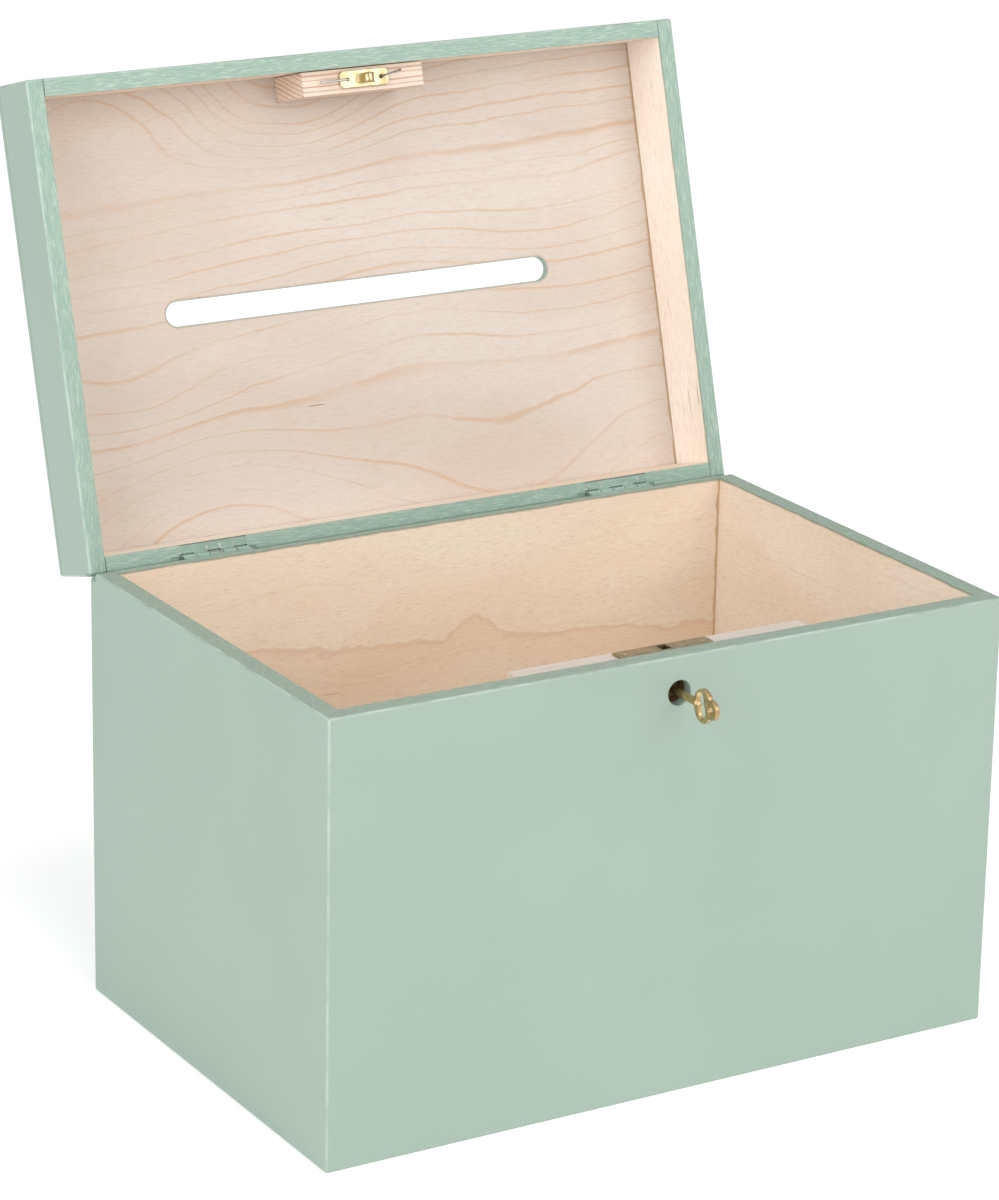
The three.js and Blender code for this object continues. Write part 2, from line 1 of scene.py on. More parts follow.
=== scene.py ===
import json
from math import atan2, pi, radians

import bmesh
import bpy
from mathutils import Matrix, Vector


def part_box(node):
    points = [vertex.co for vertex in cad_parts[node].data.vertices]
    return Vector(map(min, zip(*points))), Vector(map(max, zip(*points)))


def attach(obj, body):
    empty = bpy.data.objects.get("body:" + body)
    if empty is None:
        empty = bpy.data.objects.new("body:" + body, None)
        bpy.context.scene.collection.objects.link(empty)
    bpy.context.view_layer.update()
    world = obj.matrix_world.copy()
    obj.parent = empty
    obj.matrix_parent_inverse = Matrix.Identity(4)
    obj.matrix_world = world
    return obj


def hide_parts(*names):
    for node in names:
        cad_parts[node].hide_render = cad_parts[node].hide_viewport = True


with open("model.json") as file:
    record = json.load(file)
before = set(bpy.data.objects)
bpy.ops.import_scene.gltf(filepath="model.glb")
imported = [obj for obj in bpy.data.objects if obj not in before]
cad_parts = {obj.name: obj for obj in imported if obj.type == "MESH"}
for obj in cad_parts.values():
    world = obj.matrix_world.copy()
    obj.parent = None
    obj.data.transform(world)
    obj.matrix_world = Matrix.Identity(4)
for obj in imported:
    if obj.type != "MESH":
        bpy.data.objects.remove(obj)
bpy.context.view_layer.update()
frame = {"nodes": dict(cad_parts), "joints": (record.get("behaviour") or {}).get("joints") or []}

# ---- Camera ----
# A long lens, left of the front and a little above the box, far enough off that the box's
# upright edges stay nearly parallel.

camera_place = Vector((-0.8603, -1.3915, 0.7110))
camera_turn = radians(31.11)
camera_dip = radians(18.24)
camera_roll = radians(1.08)

bpy.ops.object.select_all(action="DESELECT")
bpy.ops.object.camera_add(location=camera_place)
camera = bpy.context.object
camera.name = "camera"
camera.data.lens = 131.6
camera.data.sensor_width = 36
camera.rotation_mode = "QUATERNION"
look = Matrix.Rotation(-camera_turn, 3, "Z") @ Matrix.Rotation(pi / 2 - camera_dip, 3, "X")
camera.rotation_quaternion = (look @ Matrix.Rotation(camera_roll, 3, "Z")).to_quaternion()
bpy.context.scene.camera = camera

# ---- Studio ----
# A white room: an even white surround, two large soft lamps before the front's right and its
# left, and a small weak one above. The floor glows a little, so that it stays pale.

surround_strength = 0.58
floor_size = 12
floor_glow = 0.3
lamp_aim = Vector((0, 0, 0.15))
lamps = {
    "main lamp": {"place": (0.9, -3.0, 1.9), "size": 2.4, "watts": 50, "tint": (1.0, 0.985, 0.965)},
    "side lamp": {"place": (-3.0, -1.2, 1.5), "size": 2.4, "watts": 54, "tint": (1.0, 1.0, 1.0)},
    "top lamp": {"place": (-0.1, -0.6, 3.0), "size": 0.9, "watts": 17, "tint": (1.0, 1.0, 1.0)},
}

bpy.context.scene.view_settings.view_transform = "Standard"
world = bpy.data.worlds.new("white room")
world.use_nodes = True
surround = world.node_tree.nodes["Background"]
surround.inputs["Color"].default_value = (1, 1, 1, 1)
surround.inputs["Strength"].default_value = surround_strength
bpy.context.scene.world = world

for name, lamp in lamps.items():
    place = Vector(lamp["place"])
    bpy.ops.object.light_add(type="AREA", location=place)
    made = bpy.context.object
    made.name = name
    made.data.size = lamp["size"]
    made.data.energy = lamp["watts"]
    made.data.color = lamp["tint"]
    made.rotation_euler = (lamp_aim - place).to_track_quat("-Z", "Y").to_euler()

bpy.ops.object.select_all(action="DESELECT")
bpy.ops.mesh.primitive_plane_add(size=floor_size)
studio_floor = bpy.context.object
studio_floor.name = "studio_floor"
floor_paint = bpy.data.materials.new("studio floor")
floor_paint.use_nodes = True
floor_shader = floor_paint.node_tree.nodes["Principled BSDF"]
floor_shader.inputs["Base Color"].default_value = (0.96, 0.96, 0.957, 1)
floor_shader.inputs["Roughness"].default_value = 0.9
floor_shader.inputs["Emission Color"].default_value = (1, 1, 1, 1)
floor_shader.inputs["Emission Strength"].default_value = floor_glow
studio_floor.data.materials.append(floor_paint)

# ---- Bottom panel ----
# A 3 mm birch plywood sheet, glued under the four walls, with its lower edges rounded over. As
# on every board, the outside and the rim are painted mint, and the inside is left bare.


def new_block(name, low, high):
    """A block between two corners, with nothing selected in it."""
    low = Vector(low)
    high = Vector(high)
    bpy.ops.object.select_all(action="DESELECT")
    bpy.ops.mesh.primitive_cube_add(size=1)
    piece = bpy.context.object
    piece.name = name
    bpy.ops.object.mode_set(mode="EDIT")
    bpy.ops.mesh.select_all(action="SELECT")
    bpy.ops.transform.resize(value=high - low)
    bpy.ops.transform.translate(value=(low + high) / 2)
    bpy.ops.mesh.select_all(action="DESELECT")
    bpy.ops.object.mode_set(mode="OBJECT")
    return piece


def lies(element, **place):
    """Whether every corner of an edge or face is at the given x, y or z."""
    corners = [corner.co for corner in element.verts]
    return all(abs(getattr(co, axis) - value) < 1e-5 for co in corners for axis, value in place.items())


def pick(piece, kind, test):
    """Selects the edges or faces of a piece that pass a test, and stays in edit mode."""
    bpy.context.view_layer.objects.active = piece
    if piece.mode != "EDIT":
        bpy.ops.object.mode_set(mode="EDIT")
    bpy.ops.mesh.select_mode(type=kind)
    bpy.ops.mesh.select_all(action="DESELECT")
    mesh = bmesh.from_edit_mesh(piece.data)
    for element in mesh.edges if kind == "EDGE" else mesh.faces:
        if test(element):
            element.select_set(True)
    bmesh.update_edit_mesh(piece.data)


def soften(piece, width, segments, test):
    """Rounds the edges that pass a test."""
    pick(piece, "EDGE", test)
    bpy.ops.mesh.bevel(offset=width, segments=segments, affect="EDGES")
    bpy.ops.mesh.select_all(action="DESELECT")
    bpy.ops.object.mode_set(mode="OBJECT")


def complete(piece, finish, body, slot, *nodes, crease=40):
    """Shades a piece, gives it its finish and its body, and lets it stand for its CAD nodes."""
    bpy.ops.object.select_all(action="DESELECT")
    piece.select_set(True)
    bpy.context.view_layer.objects.active = piece
    bpy.ops.object.shade_smooth_by_angle(angle=radians(crease))
    even = piece.modifiers.new("even shading", "WEIGHTED_NORMAL")
    even.keep_sharp = True
    bpy.ops.object.modifier_apply(modifier=even.name)
    piece.data.materials.clear()
    piece.data.materials.append(finish)
    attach(piece, body)
    if nodes:
        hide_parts(*nodes)


def make(tree, kind, settings, *inputs):
    """A new node with its settings, and its inputs in order, each a socket or a plain value."""
    node = tree.nodes.new("ShaderNode" + kind)
    for name, value in settings.items():
        setattr(node, name, value)
    for socket, value in zip(node.inputs, inputs):
        if isinstance(value, bpy.types.NodeSocket):
            tree.links.new(value, socket)
        elif value is not None:
            socket.default_value = value
    return node


def maths(tree, operation, *inputs):
    return make(tree, "Math", {"operation": operation}, *inputs).outputs[0]


def ramp(tree, value, start, end):
    """0 at start and 1 at end, with a soft change between. Start may be the higher."""
    soft = {"interpolation_type": "SMOOTHSTEP"}
    return make(tree, "MapRange", soft, value, start, end, 0.0, 1.0).outputs[0]


def cover(tree, share, under, over):
    """The colour under, hidden by the colour over where share is 1."""
    mix = make(tree, "Mix", {"data_type": "RGBA"}, share)
    for socket, value in ((mix.inputs[6], under), (mix.inputs[7], over)):
        if isinstance(value, bpy.types.NodeSocket):
            tree.links.new(value, socket)
        else:
            socket.default_value = value
    return mix.outputs[2]


def rgb(red, green, blue):
    """A screen colour as the linear colour that a shader takes."""
    return tuple(((part / 255 + 0.055) / 1.055) ** 2.4 for part in (red, green, blue)) + (1.0,)


def grain(tree, place, per_metre, detail=2.0, rough=0.5, seed=0.0):
    """Noise from 0 to 1, with so many turns per metre along x, y and z."""
    mapping = make(tree, "Mapping", {}, place, (seed, seed * 0.7, seed * 1.3), (0, 0, 0), per_metre)
    return make(tree, "TexNoise", {}, mapping.outputs[0], None, 1.0, detail, rough).outputs[0]


def stretched(along, slow, fast):
    """Turns per metre for a grain that runs along one axis."""
    return tuple(slow if axis == along else fast for axis in range(3))


def new_finish(name):
    finish = bpy.data.materials.new(name)
    finish.use_nodes = True
    return finish, finish.node_tree, finish.node_tree.nodes["Principled BSDF"]


def bump(tree, shader, height, metres, strength=0.4):
    node = make(tree, "Bump", {}, strength, metres)
    tree.links.new(height, node.inputs["Height"])
    tree.links.new(node.outputs[0], shader.inputs["Normal"])


birch_line = rgb(196, 152, 104)
birch_pore = rgb(186, 148, 112)
birch_fleck = rgb(126, 84, 58)
birch_dent_highlight = rgb(247, 240, 231)
birch_heart = rgb(222, 172, 122)


def birch_figure(tree, place, figure):
    """Rotary-cut birch: rings where the log's hills and hollows were peeled, pores and flecks."""
    parts = make(tree, "SeparateXYZ", {}, place).outputs
    along, across = figure["axes"]
    seed = figure["seed"]
    slow_line = maths(tree, "MULTIPLY_ADD", parts[across], figure["way"], figure["start"])
    ring = maths(tree, "MULTIPLY_ADD", parts[along], -figure["slope"], slow_line)
    for hill_along, hill_across, reach_along, reach_across, lift in figure["hills"]:
        size = [0.0, 0.0, 0.0]
        middle = [0.0, 0.0, 0.0]
        for axis, at, reach in ((along, hill_along, reach_along), (across, hill_across, reach_across)):
            size[axis] = 1 / reach
            middle[axis] = -at / reach
        near = make(tree, "Mapping", {}, place, middle, (0, 0, 0), size).outputs[0]
        away = make(tree, "VectorMath", {"operation": "LENGTH"}, near).outputs["Value"]
        ring = maths(tree, "MULTIPLY_ADD", ramp(tree, away, 1.0, 0.0), -lift, ring)
    wander = grain(tree, place, stretched(along, 12, 30), 2.0, 0.5, seed)
    ring = maths(tree, "MULTIPLY_ADD", wander, figure["wander"], ring)
    shiver = grain(tree, place, stretched(along, 60, 90), 2.0, 0.6, seed + 2)
    ring = maths(tree, "MULTIPLY_ADD", shiver, 0.0022, ring)
    # lines per metre grow with the ring's height on the sheet, so the figure opens out below
    few, more = figure["lines"]
    phase = maths(tree, "MULTIPLY", maths(tree, "MULTIPLY_ADD", ring, more, few), ring)
    uneven = make(tree, "TexNoise", {"noise_dimensions": "1D"}, None, ring, 50.0, 1.0, 0.5).outputs[0]
    phase = maths(tree, "MULTIPLY_ADD", uneven, 1.5, phase)
    saw = maths(tree, "FRACT", phase)
    closeness = maths(tree, "MAXIMUM", maths(tree, "MULTIPLY_ADD", ring, 2 * more, few), few * 0.5)
    behind = maths(tree, "DIVIDE", maths(tree, "SUBTRACT", 1.0, saw), closeness)
    before = maths(tree, "DIVIDE", saw, closeness)
    soft_side = ramp(tree, behind, figure["line_width"], 0.0)
    sharp_side = ramp(tree, before, 0.0005, 0.0)
    line = maths(tree, "MAXIMUM", soft_side, sharp_side)
    fade = ramp(tree, grain(tree, place, stretched(along, 14, 40), 2.0, 0.6, seed + 3), 0.36, 0.62)
    line = maths(tree, "MULTIPLY", line, maths(tree, "MULTIPLY_ADD", fade, 0.6, 0.4))
    pores = grain(tree, place, stretched(along, 240, 2600), 3.0, 0.65, seed + 5)
    blotch = ramp(tree, grain(tree, place, stretched(along, 8, 20), 3.0, 0.55, seed + 8), 0.35, 0.68)
    fleck = grain(tree, place, stretched(along, 30, 500), 1.0, 0.4, seed + 11)
    fleck = ramp(tree, fleck, figure["flecks"], figure["flecks"] + 0.04)
    colour = cover(tree, blotch, figure["pale"], figure["warm"])
    colour = cover(tree, maths(tree, "MULTIPLY", line, figure["contrast"]), colour, birch_line)
    colour = cover(tree, maths(tree, "MULTIPLY", ramp(tree, pores, 0.47, 0.70), 0.30), colour, birch_pore)
    colour = cover(tree, maths(tree, "MULTIPLY", fleck, 0.6), colour, birch_fleck)
    if "heart" in figure:
        level, fall, knoll_at, knoll = figure["heart"]
        edge = maths(tree, "MULTIPLY_ADD", parts[along], fall, level)
        from_knoll = maths(tree, "ABSOLUTE", maths(tree, "SUBTRACT", parts[along], knoll_at))
        rise = ramp(tree, from_knoll, 0.018, 0.0)
        edge = maths(tree, "MULTIPLY_ADD", rise, knoll, edge)
        ripple = grain(tree, place, stretched(along, 45, 90), 3.0, 0.6, seed + 14)
        edge = maths(tree, "MULTIPLY_ADD", ripple, 0.012, edge)
        below = maths(tree, "SUBTRACT", edge, parts[across])
        heart = maths(tree, "MULTIPLY", ramp(tree, below, 0.0, 0.0012), ramp(tree, below, 0.09, -0.01))
        colour = cover(tree, maths(tree, "MULTIPLY", heart, 0.22), colour, birch_heart)
        border = maths(tree, "MULTIPLY", ramp(tree, below, -0.0002, 0.0003),
                       ramp(tree, below, 0.0034, 0.0006))
        colour = cover(tree, maths(tree, "MULTIPLY", border, 0.22), colour, birch_line)
    # Each dent is a pale spot with fewer pores: partly pressed fibres, partly a painted highlight on the
    # dent.
    for dent in figure.get("dents", ()):
        away = make(tree, "VectorMath", {"operation": "DISTANCE"}, place, dent).outputs["Value"]
        pressed = ramp(tree, away, 0.0019, 0.0004)
        colour = cover(tree, maths(tree, "MULTIPLY", pressed, 0.4), colour, birch_dent_highlight)
        pores = maths(tree, "SUBTRACT", pores, pressed)
    return colour, pores


mint_face = rgb(147, 166, 154)
mint_light = rgb(150, 169, 157)
mint_thin_and_highlight = rgb(190, 205, 194)
rim_streak = rgb(190, 202, 184)
rim_shade = rgb(128, 155, 140)
edge_brown = rgb(170, 118, 88)
glue_brown = rgb(182, 142, 86)
hole_bare_and_shade_brown = rgb(104, 72, 52)
groove_shade_green = rgb(84, 116, 101)


def painted_birch(name, shape, along, figure, turn=None):
    """Mint paint over birch plywood, paler on the arrises, partly as thin paint and partly as a painted
    highlight, and streaked by the plies' edges on the rim. The paint ends in a hand-drawn line just inside
    the rim, and the hollow is bare."""
    finish, tree, shader = new_finish(name)
    place = tree.nodes.new("ShaderNodeTexCoord").outputs["Object"]
    if turn:
        move, spin, _ = turn.decompose()
        place = make(tree, "Mapping", {}, place, move, spin.to_euler(), (1, 1, 1)).outputs[0]
    x, y, z = make(tree, "SeparateXYZ", {}, place).outputs
    side = shape["side"]
    rim_depth = maths(tree, "MULTIPLY", maths(tree, "SUBTRACT", shape["rim"], z), side)
    waver = grain(tree, place, (60, 60, 60), 3.0, 0.65, 2.0)
    wavy = maths(tree, "SUBTRACT", rim_depth, maths(tree, "MULTIPLY", waver, shape["paint_reach"]))
    depth = wavy
    for part, limit in ((x, shape["bare"][0]), (y, shape["bare"][1])):
        depth = maths(tree, "MINIMUM", depth, maths(tree, "SUBTRACT", limit, maths(tree, "ABSOLUTE", part)))
    far = maths(tree, "MULTIPLY", maths(tree, "SUBTRACT", z, shape["bare_end"]), side)
    depth = maths(tree, "MINIMUM", depth, far)
    if "slot" in shape:
        reach, half = shape["slot"]
        past = maths(tree, "MAXIMUM", maths(tree, "SUBTRACT", maths(tree, "ABSOLUTE", x), reach), 0.0)
        off = maths(tree, "ADD", maths(tree, "POWER", past, 2.0), maths(tree, "POWER", y, 2.0))
        off = maths(tree, "SQRT", off)
        off = maths(tree, "SUBTRACT", off, maths(tree, "MULTIPLY_ADD", waver, 0.0007, half))
        depth = maths(tree, "MINIMUM", depth, off)
        wavy = maths(tree, "MINIMUM", wavy, off)
    bare = ramp(tree, depth, 0.0, 0.00012)
    cloud = ramp(tree, grain(tree, place, (11, 11, 11), 3.0, 0.5, 7.0), 0.3, 0.7)
    paint = cover(tree, cloud, mint_face, mint_light)
    streak = grain(tree, place, stretched(along, 190, 3200), 3.0, 0.7, 4.0)
    ply = grain(tree, place, stretched(along, 40, 900), 2.0, 0.5, 9.0)
    # The rim takes its own mint, darker than the faces': partly paint on the plies' end grain, partly painted
    # shade on the upward faces.
    on_rim = ramp(tree, rim_depth, 0.0012, 0.0001)
    paint = cover(tree, on_rim, paint, shape["rim_paint"])
    dark = maths(tree, "MULTIPLY", maths(tree, "MULTIPLY", ramp(tree, ply, 0.45, 0.75), 0.5), on_rim)
    light = maths(tree, "MULTIPLY", ramp(tree, streak, 0.48, 0.66), shape["streaks"])
    light = maths(tree, "MULTIPLY", light, on_rim)
    paint = cover(tree, dark, paint, rim_shade)
    paint = cover(tree, light, paint, rim_streak)
    # Partly thin, worn paint and partly painted highlight: the rounded outer edges are lightened towards a
    # pale mint, in patches.
    outer = [ramp(tree, maths(tree, "ABSOLUTE", part), half - 0.0011, half - 0.0003)
             for part, half in ((x, shape["half"][0]), (y, shape["half"][1]))]
    outer.append(ramp(tree, rim_depth, 0.0011, 0.0003))
    pairs = [maths(tree, "MULTIPLY", outer[0], outer[1]), maths(tree, "MULTIPLY", outer[0], outer[2]),
             maths(tree, "MULTIPLY", outer[1], outer[2])]
    arris = maths(tree, "MAXIMUM", maths(tree, "MAXIMUM", pairs[0], pairs[1]), pairs[2])
    worn = ramp(tree, grain(tree, place, (60, 60, 60), 3.0, 0.6, 5.0), 0.3, 0.62)
    paint = cover(tree, maths(tree, "MULTIPLY", maths(tree, "MULTIPLY", arris, worn), 0.6), paint, mint_thin_and_highlight)
    wood, pores = birch_figure(tree, place, figure)
    # Partly a stain and partly painted shade: a thin brown line on the bare wood just under the paint's edge,
    # below the rim.
    paint_edge = ramp(tree, wavy, 0.0008, 0.0)
    wood = cover(tree, maths(tree, "MULTIPLY", paint_edge, 0.5), wood, edge_brown)
    for axis, at, wide, way in figure.get("glue", ()):
        ragged = grain(tree, place, (120, 120, 120), 2.0, 0.6, 6.0)
        edge = maths(tree, "MULTIPLY", maths(tree, "SUBTRACT", (x, y, z)[axis], at), way)
        seam = ramp(tree, maths(tree, "MULTIPLY_ADD", ragged, wide, edge), wide * 0.5, wide * 0.5 + 0.0006)
        wood = cover(tree, maths(tree, "MULTIPLY", seam, 0.6), wood, glue_brown)
    colour = cover(tree, bare, paint, wood)
    # Painted shade: along the rim's rear edge, where the hinge groove between lid and case lies, the colour
    # is darkened towards a deep green.
    shaded_groove_start = half_depth - shape["shaded_groove"]
    shaded_groove = maths(tree, "MULTIPLY", ramp(tree, y, shaded_groove_start, shaded_groove_start + 0.0008),
                   ramp(tree, rim_depth, 0.0045, 0.003))
    colour = cover(tree, maths(tree, "MULTIPLY", shaded_groove, 0.6), colour, groove_shade_green)
    # Painted shade: past the brush's reach, the key hole's wall turns dark brown, bare wood darkened as the
    # shade inside the hole.
    if "drilled" in shape:
        hole_z, hole_radius, brush_reach = shape["drilled"]
        off_axis = maths(tree, "SUBTRACT", z, hole_z)
        off_axis = maths(tree, "ADD", maths(tree, "POWER", x, 2.0), maths(tree, "POWER", off_axis, 2.0))
        in_hole = ramp(tree, maths(tree, "SQRT", off_axis), hole_radius + 0.0004, hole_radius + 0.0002)
        bare_and_shaded = maths(tree, "MULTIPLY_ADD", waver, 0.003, y)
        bare_and_shaded = ramp(tree, bare_and_shaded, brush_reach, brush_reach + 0.0008)
        colour = cover(tree, maths(tree, "MULTIPLY", in_hole, bare_and_shaded), colour, hole_bare_and_shade_brown)
    tree.links.new(colour, shader.inputs["Base Color"])
    rough = make(tree, "MapRange", {}, bare, 0.0, 1.0, 0.5, 0.65).outputs[0]
    tree.links.new(rough, shader.inputs["Roughness"])
    skin = maths(tree, "MULTIPLY", grain(tree, place, (500, 500, 500), 2.0, 0.5, 1.0), 0.3)
    skin = maths(tree, "MULTIPLY_ADD", maths(tree, "MULTIPLY", streak, on_rim), 1.2, skin)
    fibre = maths(tree, "MULTIPLY", pores, 0.6)
    height = make(tree, "Mix", {"data_type": "FLOAT"}, bare, None, skin, fibre).outputs[0]
    bump(tree, shader, height, 0.0001)
    return finish


wall = 0.008
round_over = 0.0012
body_low, body_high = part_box("left_wall")[0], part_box("right_wall")[1]
half_width = body_high.x
half_depth = -body_low.y
rim = body_high.z
bottom_top = body_low.z
body_shape = {
    "half": (half_width, half_depth),
    "rim": rim,
    "side": 1,
    "paint_reach": 0.0016,
    "bare": (half_width - wall + 0.0003, half_depth - wall + 0.0003),
    "bare_end": bottom_top - 0.0003,
    "streaks": 0.5,
    "rim_paint": rgb(138, 157, 143),
    "shaded_groove": 0.0056,
}
bottom_figure = {
    "axes": (0, 1),
    "way": 1.0,
    "start": 0.1,
    "slope": 0.05,
    "hills": ((0.05, 0.02, 0.12, 0.07, 0.03), (-0.08, -0.03, 0.09, 0.06, -0.02)),
    "wander": 0.03,
    "lines": (50, 100),
    "contrast": 0.5,
    "line_width": 0.0018,
    "flecks": 0.80,
    "seed": 21.0,
    "pale": rgb(236, 222, 208),
    "warm": rgb(230, 208, 188),
}
bottom_finish = painted_birch("bottom panel birch", body_shape, 0, bottom_figure)

bottom = new_block("bottom_board", (-half_width, -half_depth, 0), (half_width, half_depth, bottom_top))
soften(bottom, round_over, 4, lambda edge: lies(edge, z=0)
       or (len({round(corner.co.z, 5) for corner in edge.verts}) == 2))
complete(bottom, bottom_finish, "case", "mint_painted_plywood", "bottom_panel")

# ---- Front wall ----
# An 8 mm birch plywood board, glued between the side walls. A round hole is drilled through it for the key
# and painted as deep as the brush went; deeper in, its wall is dark brown, partly bare wood and partly
# painted shade inside the hole.

key_turn = next(joint for joint in frame["joints"] if joint["name"] == "key_turn")
key_z = key_turn["pos_m"][2]
keyhole_radius = 0.005
keyhole_round = 0.00035
brush_depth = 0.0058
inner_round = 0.0003
overcut = 0.01


def new_bar(name, radius, start, end, sides=48):
    """A round bar from one point to another."""
    start = Vector(start)
    end = Vector(end)
    turn = (end - start).to_track_quat("Z", "Y").to_euler()
    bpy.ops.object.select_all(action="DESELECT")
    bpy.ops.mesh.primitive_cylinder_add(
        vertices=sides, radius=radius, depth=(end - start).length, location=(start + end) / 2, rotation=turn)
    piece = bpy.context.object
    piece.name = name
    bpy.ops.object.transform_apply(location=True, rotation=True, scale=True)
    return piece


def combine(piece, tool, operation="DIFFERENCE"):
    """Cuts a tool away from a piece, or adds it, and uses the tool up."""
    bpy.ops.object.select_all(action="DESELECT")
    bpy.context.view_layer.objects.active = piece
    cut = piece.modifiers.new("cut", "BOOLEAN")
    cut.operation = operation
    cut.object = tool
    bpy.ops.object.modifier_apply(modifier=cut.name)
    bpy.data.objects.remove(tool)


front_figure = {
    "axes": (0, 2),
    "way": 1.0,
    "start": 0.0,
    "slope": 0.05,
    "hills": ((0.04, 0.08, 0.10, 0.06, 0.02),),
    "wander": 0.03,
    "lines": (60, 100),
    "contrast": 0.4,
    "line_width": 0.0018,
    "flecks": 0.80,
    "seed": 31.0,
    "pale": rgb(236, 222, 208),
    "warm": rgb(230, 208, 188),
}
front_shape = dict(body_shape, drilled=(key_z, keyhole_radius, brush_depth - half_depth))
front_finish = painted_birch("front wall", front_shape, 0, front_figure)
side_inside = half_width - wall
front_inside = wall - half_depth

front = new_block("front_board", (-side_inside, -half_depth, bottom_top), (side_inside, front_inside, rim))
soften(front, round_over, 4, lambda edge: lies(edge, y=-half_depth, z=rim))
soften(front, inner_round, 2, lambda edge: lies(edge, y=front_inside, z=rim))
combine(front, new_bar("drill", keyhole_radius, (0, -half_depth - overcut, key_z),
                       (0, front_inside + overcut, key_z), 64))


def round_mouth(edge, y, middle_z, radius):
    """Whether an edge is part of a round hole's mouth in an upright face."""
    return lies(edge, y=y) and all(
        abs(Vector((corner.co.x, corner.co.z - middle_z)).length - radius) < 2e-5 for corner in edge.verts)


soften(front, keyhole_round, 3, lambda edge: round_mouth(edge, -half_depth, key_z, keyhole_radius))
complete(front, front_finish, "case", "mint_painted_plywood", "front_wall")

# ---- Side walls ----
# Two 8 mm birch plywood boards that run from front to back past the ends of the others. Their
# rear top corners are planed away, and the open lid leans there.

chamfer_depth = 0.0055
chamfer_height = 0.00329


def plane_rear(piece):
    """Planes the rear top corner of a wall away."""
    blade = new_block("plane blade", (-half_width - 0.01, -0.01, 0), (half_width + 0.01, 0.02, 0.02))
    blade.select_set(True)
    blade.location = (0, half_depth - chamfer_depth, rim)
    blade.rotation_euler.x = -atan2(chamfer_height, chamfer_depth)
    bpy.ops.object.transform_apply(location=True, rotation=True, scale=True)
    combine(piece, blade)


def outside_edge(edge, side):
    """Whether a side board's edge is on the outside: its face's border or its ends' tops."""
    if lies(edge, x=side * half_width):
        return not lies(edge, z=bottom_top)
    return all(abs(corner.co.y) > half_depth - chamfer_depth - 1e-5 and corner.co.z > bottom_top + 1e-5
               for corner in edge.verts) and abs(edge.verts[0].co.x - edge.verts[1].co.x) > 1e-5


side_figure = {
    "axes": (1, 2),
    "way": 1.0,
    "start": 0.0,
    "slope": 0.02,
    "hills": ((0.02, 0.10, 0.10, 0.06, 0.012),),
    "wander": 0.03,
    "lines": (30, 40),
    "contrast": 0.16,
    "line_width": 0.0018,
    "flecks": 0.755,
    "seed": 41.0,
    "pale": rgb(243, 230, 214),
    "warm": rgb(238, 220, 198),
}
side_finish = painted_birch("side walls", body_shape, 1, side_figure)
for side, name in ((-1, "left"), (1, "right")):
    low_x, high_x = sorted((side * half_width, side * side_inside))
    board = new_block(f"{name}_board", (low_x, -half_depth, bottom_top), (high_x, half_depth, rim))
    plane_rear(board)
    soften(board, round_over, 4, lambda edge: outside_edge(edge, side))
    soften(board, inner_round, 2, lambda edge: lies(edge, x=side * side_inside, z=rim))
    complete(board, side_finish, "case", "mint_painted_plywood", f"{name}_wall")

# ---- Back wall ----
# An 8 mm birch plywood board between the side walls, planed along its rear top edge, and cut
# out for the two hinges: a round-bottomed pocket for each barrel and a shallow seat for a leaf.

hinge = next(joint for joint in frame["joints"] if joint["name"] == "lid_hinge")
hinge_line = Vector(hinge["pos_m"])
hinge_middles = (-0.095, 0.095)
pocket_half = 0.019
pocket_radius = 0.002
leaf_half = 0.01502
back_inside = half_depth - wall
body_leaf_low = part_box("hinge_left_body_brad_1")[1].z - 0.0011

back_figure = {
    "axes": (0, 2),
    "way": 1.0,
    "start": 0.0,
    "slope": 0.02,
    "hills": ((0.02, 0.05, 0.12, 0.06, 0.02),),
    "heart": (0.1225, -0.085, 0.022, 0.009),
    "dents": ((-0.0189, half_depth - wall, 0.1556), (0.0897, half_depth - wall, 0.1387)),
    "glue": ((0, side_inside - 0.0016, 0.004, 1),),
    "wander": 0.03,
    "lines": (20, 20),
    "contrast": 0.12,
    "line_width": 0.0018,
    "flecks": 0.80,
    "seed": 51.0,
    "pale": rgb(240, 226, 207),
    "warm": rgb(236, 217, 195),
}
back_finish = painted_birch("back wall", body_shape, 0, back_figure)


def cut_pockets(piece, seat_low, seat_high):
    """Cuts the barrel pockets and the leaf seats of both hinges."""
    for middle in hinge_middles:
        combine(piece, new_bar("gouge", pocket_radius, (middle - pocket_half, hinge_line.y, hinge_line.z),
                               (middle + pocket_half, hinge_line.y, hinge_line.z), 32))
        combine(piece, new_block("chisel", (middle - leaf_half, hinge_line.y - 0.0056, seat_low),
                                 (middle + leaf_half, half_depth + 0.01, seat_high)))


back = new_block("back_board", (-side_inside, back_inside, bottom_top), (side_inside, half_depth, rim))
plane_rear(back)
soften(back, inner_round, 2, lambda edge: lies(edge, y=back_inside, z=rim))
cut_pockets(back, body_leaf_low, rim + 0.01)
complete(back, back_finish, "case", "mint_painted_plywood", "back_wall")

# ---- Lid top panel ----
# A 3 mm birch plywood sheet, glued over the four rails, with a rounded posting slot sawn along
# its middle. The slot's cut is painted, and the inside shows the sheet's figure.

